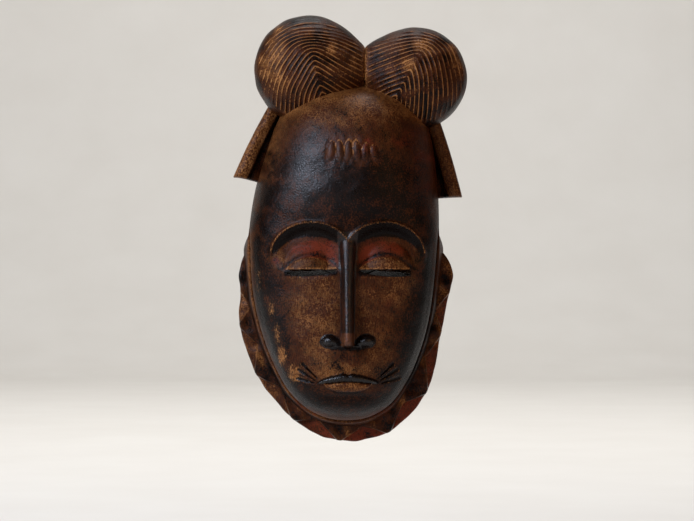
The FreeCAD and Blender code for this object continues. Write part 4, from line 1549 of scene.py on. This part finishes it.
@dataclass
class Lappet(Carving):
    """A flat lock of hair beside the head, with a rounded outer edge that falls back to the head."""

    name: str
    side: Side
    root: tuple[float, float]
    tip: tuple[float, float]
    foot_inner_z: float
    inner_x: float = 48.0
    inner_foot_x: float = 70.5
    crown: float = 30.0
    fall: float = 19.0
    facet: float = 12.0
    back: float = 8.0
    bow: float = 1.32
    columns: int = 90
    rows: int = 130
    bare_amount: float = 0.7

    def edge_x(self, share: np.ndarray) -> np.ndarray:
        """Place of the outer edge at a share of the lock's length."""
        bow = self.side * self.bow * np.sin(share * math.pi)
        return self.root[0] + (self.tip[0] - self.root[0]) * share + bow

    def shape(self) -> bpy.types.Object:
        """Makes the closed lock.

        Returns:
            The lock as an object.
        """
        mesh, across, up = flat_grid(self.columns, self.rows)
        outward, down = ((across + 1) / 2) ** 0.6, (1 - up) / 2
        outer = self.edge_x(down)
        inner = self.side * (self.inner_x + (self.inner_foot_x - self.inner_x) * ease(0.2, 0.75, down))
        x = inner + (outer - inner) * outward
        foot = self.foot_inner_z + (self.tip[1] - self.foot_inner_z) * ease(0.0, 1.0, outward)
        z = self.root[1] + (foot - self.root[1]) * down
        from_edge = np.abs(outer - x)
        section = (
            (0.0, self.crown - 6.0), (1.2, self.crown - 2.2), (0.45 * self.facet, self.crown - 0.3),
            (self.facet, self.crown - 2.5), (self.facet + 2.0, self.crown - 6.0),
            (self.facet + 20.0, self.fall), (60.0, self.fall),
        )
        depth = glide(from_edge, section)
        depth = depth - 4.0 * (1 - dome(1 - np.minimum((z - foot) / 3.0, 1.0)))
        depth = depth + 0.35 * ripple(x, z, 12.0, 61 + self.side)
        place_verts(mesh.verts, np.stack([x, -depth, z], axis=1))
        close_behind(mesh, -self.back)
        return as_object(mesh, self.name, sharp=50.0)

    def tones(self, piece: bpy.types.Object) -> dict[str, np.ndarray]:
        """Where the lock is sooty, bare or raw.

        Args:
            piece: The lock.

        Returns:
            A value for each vertex, by tone.
        """
        x, y, z = read_points(piece.data).T / MM
        down = (self.root[1] - z) / (self.root[1] - self.tip[1])
        from_edge = np.abs(self.edge_x(down) - x)
        raw = np.where(y > -self.back - 0.3, 1.0, 0.0)
        facet = ease(self.facet + 1.5, self.facet - 1.0, from_edge)
        groove = bell(from_edge - self.facet - 2.5, 2.5)
        soot_and_shade = 0.3 - (0.1 + 0.4 * self.bare_amount) * facet + 0.7 * groove
        return {
            Tone.SOOT_AND_SHADE: np.where(raw > 0.5, RAW_SOOT, soot_and_shade),
            Tone.BARE: self.bare_amount * facet * (0.5 + 0.6 * down),
            Tone.RED: np.full_like(x, -0.7),
            Tone.WEAR_AND_HIGHLIGHT: 0.5 * self.bare_amount * bell(from_edge - self.facet * 0.5, 2.5) * (0.3 + 0.8 * down),
            Tone.RAW: raw,
        }


# ---------------------------------------------------------------- the collar
@dataclass
class Collar(Carving):
    """The toothed flange round the jaw, whose ends rise as the ears."""

    head: Head  # the head it goes round
    ear_left: Points = ((-78.0, -116.0), (-87.0, -122.0), (-93.5, -140.0))
    teeth: Points = (
        (-93.0, -157.0), (-93.5, -187.0), (-79.5, -228.5), (-48.0, -267.5), (-8.5, -286.0), (34.0, -278.5),
        (66.5, -245.0), (79.0, -194.0), (86.5, -157.0),
    )
    ear_right: Points = ((88.5, -141.0), (81.5, -126.0), (70.0, -114.0))
    middle: tuple[float, float] = (-2.0, -170.0)
    thickness: float = 18.0
    chip_depth: float = 5.5
    chip_reach: float = 10.5
    tooth_gap: float = 1.1
    bury: float = 5.0
    back: float = 0.3
    columns: int = 760
    rows: int = 40

    def rim(self) -> np.ndarray:
        """The smooth outer rim from one ear to the other."""
        return smooth_line(self.ear_left + self.teeth + self.ear_right, 40, closed=False)

    def inside_chip(self, x: np.ndarray, z: np.ndarray) -> np.ndarray:
        """How far places are inside the nearest chip between two teeth.

        Args:
            x: Places across.
            z: Places in height.

        Returns:
            Distances, below 0 outside the chips.
        """
        deepest = np.full_like(x, NOWHERE)
        for (x0, z0), (x1, z1) in zip(self.teeth, self.teeth[1:]):
            mid = ((x0 + x1) / 2, (z0 + z1) / 2)
            away = math.hypot(mid[0] - self.middle[0], mid[1] - self.middle[1])
            out = ((mid[0] - self.middle[0]) / away, (mid[1] - self.middle[1]) / away)
            apex = (mid[0] - out[0] * self.chip_reach, mid[1] - out[1] * self.chip_reach)
            inside = np.full_like(x, -NOWHERE)
            for corner, turn in (((x0, z0), 1), ((x1, z1), -1)):
                run = (corner[0] - apex[0], corner[1] - apex[1])
                length = math.hypot(*run)
                side = (run[0] * (z - apex[1]) - run[1] * (x - apex[0])) / length * turn
                inside = np.minimum(inside, side - self.tooth_gap)
            deepest = np.maximum(deepest, inside)
        return deepest

    def shape(self) -> bpy.types.Object:
        """Makes the closed flange, whose inner edge is buried in the head's wall.

        Returns:
            The collar as an object.
        """
        mesh, across, up = flat_grid(self.columns, self.rows)
        along, out = (across + 1) / 2, ((up + 1) / 2) ** 0.85
        rim = self.rim()
        length = np.concatenate([[0], np.cumsum(np.linalg.norm(np.diff(rim, axis=0), axis=1))])
        place = along * length[-1]
        rim_x, rim_z = np.interp(place, length, rim[:, 0]), np.interp(place, length, rim[:, 1])
        turn, rim_reach = self.head.polar(rim_x, rim_z)
        inner = np.minimum(self.head.reach(turn) - self.bury, rim_reach - 2.0)
        reach = inner + (rim_reach - inner) * out
        x, z = self.head.place(turn, reach)
        from_rim = rim_reach - reach
        floor = self.chip_depth * (0.75 + 0.35 * ease(12.0, 0.0, from_rim))
        depth = self.thickness - floor * ease(-0.4, 0.9, self.inside_chip(x, z))
        depth = depth - 2.2 * (1 - dome(1 - np.minimum(from_rim / 2.4, 1.0)))
        depth = depth + 0.3 * ripple(x, z, 10.0, 71)
        wobble = 1 + 0.002 * ripple(x, z, 18.0, 72) * out
        x, z = self.head.place(turn, reach * wobble)
        place_verts(mesh.verts, np.stack([x, -depth, z], axis=1))
        close_behind(mesh, -self.back)
        return as_object(mesh, "collar", sharp=38.0)

    def tones(self, piece: bpy.types.Object) -> dict[str, np.ndarray]:
        """Where the collar is sooty, bare, red, worn or raw.

        Args:
            piece: The collar.

        Returns:
            A value for each vertex, by tone.
        """
        x, y, z = read_points(piece.data).T / MM
        inside = self.inside_chip(x, z)
        chip = ease(-0.2, 1.0, inside)
        edge = bell(inside - 0.1, 0.8)
        raw = np.where(y > -0.6, 1.0, 0.0)
        left, low = ease(0.0, -60.0, x), ease(-215.0, -265.0, z)
        mottle = 0.22 * ripple(x, z, 13.0, 73)
        ear = laid(x, z, (Patch(84.0, -146.0, 14.0, 40.0, 1.0),))
        soot_and_shade = 0.36 - 0.6 * chip + 0.1 * left + mottle - 0.5 * ear
        return {
            Tone.SOOT_AND_SHADE: np.where(raw > 0.5, RAW_SOOT, soot_and_shade),
            Tone.BARE: chip * (0.05 + 0.1 * left - 0.3 * low * (1 - left)) + 0.2 * (x > 60) - mottle,
            Tone.RED: -0.5 + chip * (0.55 * ease(-70.0, 10.0, x) + 0.4 * low * (1 - left) + 0.4),
            Tone.WEAR_AND_HIGHLIGHT: 0.35 * edge * (0.6 + 0.4 * left) - mottle,
            Tone.RAW: raw,
        }


# ---------------------------------------------------------------- studio
@dataclass
class Studio:
    """A pale sweep, its light, two soft lights on the mask, and the camera. Lengths are metres."""

    floor_z: float = -0.42
    half_width: float = 9.0
    front_y: float = -9.0
    bend_y: float = 4.0
    bend_radius: float = 1.6
    top_z: float = 6.0
    lens: float = 135.0
    aim: tuple[float, float, float] = (-0.0017, -0.03, -0.132)
    distance: float = 2.21

    def sweep(self) -> None:
        """Makes the floor that curves up far behind the object."""
        mesh = bmesh.new()
        ends = (-self.half_width, self.half_width)
        edge = [mesh.edges.new([mesh.verts.new((x, self.front_y, self.floor_z)) for x in ends])]
        made = bmesh.ops.extrude_edge_only(mesh, edges=edge)["geom"]
        bmesh.ops.translate(mesh, vec=(0, self.bend_y - self.front_y, 0), verts=new_verts(made))
        edge = [item for item in made if isinstance(item, bmesh.types.BMEdge) and len(item.link_faces) == 1]
        edge = [item for item in edge if abs(item.verts[0].co.y - item.verts[1].co.y) < 1e-6]
        spun = bmesh.ops.spin(
            mesh, geom=edge + edge[0].verts[:], cent=(0, self.bend_y, self.floor_z + self.bend_radius),
            axis=(1, 0, 0), angle=math.pi / 2, steps=16,
        )["geom_last"]
        last = [item for item in spun if isinstance(item, bmesh.types.BMEdge)]
        made = bmesh.ops.extrude_edge_only(mesh, edges=last)["geom"]
        bmesh.ops.translate(mesh, vec=(0, 0, self.top_z), verts=new_verts(made))
        bmesh.ops.scale(mesh, vec=(1 / MM,) * 3, verts=mesh.verts)
        floor = as_object(mesh, "floor", sharp=80.0)
        floor.data.materials.append(PaleSweep().make())

    def lamp(self, name: str, place: tuple, aim: tuple, size: float, watts: float, colour: str) -> None:
        """Adds a square soft light.

        Args:
            name: Name of the light.
            place: Where it stands, in metres.
            aim: Where it points.
            size: Its side in metres.
            watts: Its power.
            colour: Its colour as an sRGB hex code.
        """
        data = bpy.data.lights.new(name, "AREA")
        data.size, data.energy, data.color = size, watts, linear(colour)[:3]
        item = bpy.data.objects.new(name, data)
        item.location = place
        item.rotation_euler = (Vector(aim) - Vector(place)).to_track_quat("-Z", "Y").to_euler()
        bpy.context.scene.collection.objects.link(item)

    def camera(self) -> None:
        """Adds the camera, square on to the mask."""
        data = bpy.data.cameras.new("camera")
        data.lens, data.sensor_width = self.lens, 36.0
        item = bpy.data.objects.new("camera", data)
        item.location = (self.aim[0], self.aim[1] - self.distance, self.aim[2])
        item.rotation_euler = (math.radians(90), 0, 0)
        bpy.context.scene.collection.objects.link(item)
        bpy.context.scene.camera = item

    def build(self) -> None:
        """Sets up the floor, the lights, the world and the camera."""
        self.sweep()
        self.lamp("key_light", (-1.6, -1.5, 0.9), self.aim, 0.8, 66.0, "#dfe9ff")
        self.lamp("fill_light", (1.9, -1.7, 0.3), self.aim, 1.2, 9.0, "#ffcb98")
        self.lamp("sweep_light", (0.0, 1.2, 3.2), (0.0, 5.0, -0.3), 2.5, 210.0, "#ffffff")
        world = bpy.data.worlds.new("studio_air")
        world.use_nodes = True
        background = world.node_tree.nodes["Background"]
        background.inputs["Color"].default_value = linear("#dfe6f2")
        background.inputs["Strength"].default_value = 0.06
        bpy.context.scene.world = world
        bpy.context.scene.view_settings.view_transform = "Standard"
        self.camera()


def buns() -> list[Bun]:
    """The two buns with their own sizes and wear."""
    left = Bun(
        name="bun_left", side=Side.LEFT, x=-34.0, z=29.7, radius=46.7,
        pull=0.24, pull_turn=0.0, pull_width=18.5, inner_slope=30.0,
        arc_centre=(17.5, -8.0), peak=(-28.5, 33.0),
        bare=(
            Patch(-64.0, 34.0, 12.0, 24.0, 0.55), Patch(-60.0, 66.0, 9.0, 6.0, 0.4),
            Patch(-4.0, 40.0, 20.0, 22.0, 0.3),
        ),
        soot_and_shade=(
            Patch(-64.0, 34.0, 12.0, 24.0, -0.15), Patch(-34.0, 55.0, 14.0, 20.0, 0.35),
            Patch(-22.0, 20.0, 12.0, 24.0, 0.3),
        ),
    )
    right = Bun(
        name="bun_right", side=Side.RIGHT, x=57.0, z=23.0, radius=43.3,
        pull=0.3, pull_turn=172.0, pull_width=23.3, inner_slope=23.0,
        arc_centre=(-12.0, 8.0), peak=(53.5, 31.5),
        bare=(
            Patch(63.0, 48.0, 8.0, 6.0, 0.7), Patch(51.0, 31.0, 6.0, 6.0, 0.7),
            Patch(92.0, 40.0, 8.0, 14.0, 0.4),
        ),
        soot_and_shade=(
            Patch(63.0, 48.0, 8.0, 6.0, -0.6), Patch(51.0, 31.0, 6.0, 6.0, -0.6),
            Patch(62.0, -2.0, 30.0, 20.0, 0.3), Patch(40.0, 20.0, 16.0, 16.0, 0.25),
        ),
    )
    return [left, right]


def lappets() -> list[Lappet]:
    """The two locks beside the head."""
    return [
        Lappet(name="lappet_left", side=Side.LEFT, root=(-66.0, 4.0), tip=(-98.6, -61.0), foot_inner_z=-66.0),
        Lappet(
            name="lappet_right", side=Side.RIGHT, root=(72.0, 2.0), tip=(96.5, -78.0), foot_inner_z=-79.0,
            bare_amount=0.35,
        ),
    ]


def main() -> None:
    """Builds the object around its frame, then the studio."""
    logging.basicConfig(level=logging.INFO, format="%(message)s")
    smoked, scored, brass = SmokedHardwood().make(), CutHair().make(), AgedBrass().make()
    head = Head()
    wooden = [head.build(smoked)]
    wooden += [bun.build(scored) for bun in buns()]
    wooden += [lappet.build(smoked) for lappet in lappets()]
    wooden.append(Collar(head).build(smoked))
    for piece in wooden:
        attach(piece, Body.MASK.value)
        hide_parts("mask_body")
        LOG.info("%s: %d faces", piece.name, len(piece.data.polygons))
    for node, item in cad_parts.items():
        if node != "mask_body":
            item.data.materials.clear()
            item.data.materials.append(brass)
            LOG.info("%s dressed", node)
    Studio().build()


if __name__ == "__main__":
    main()
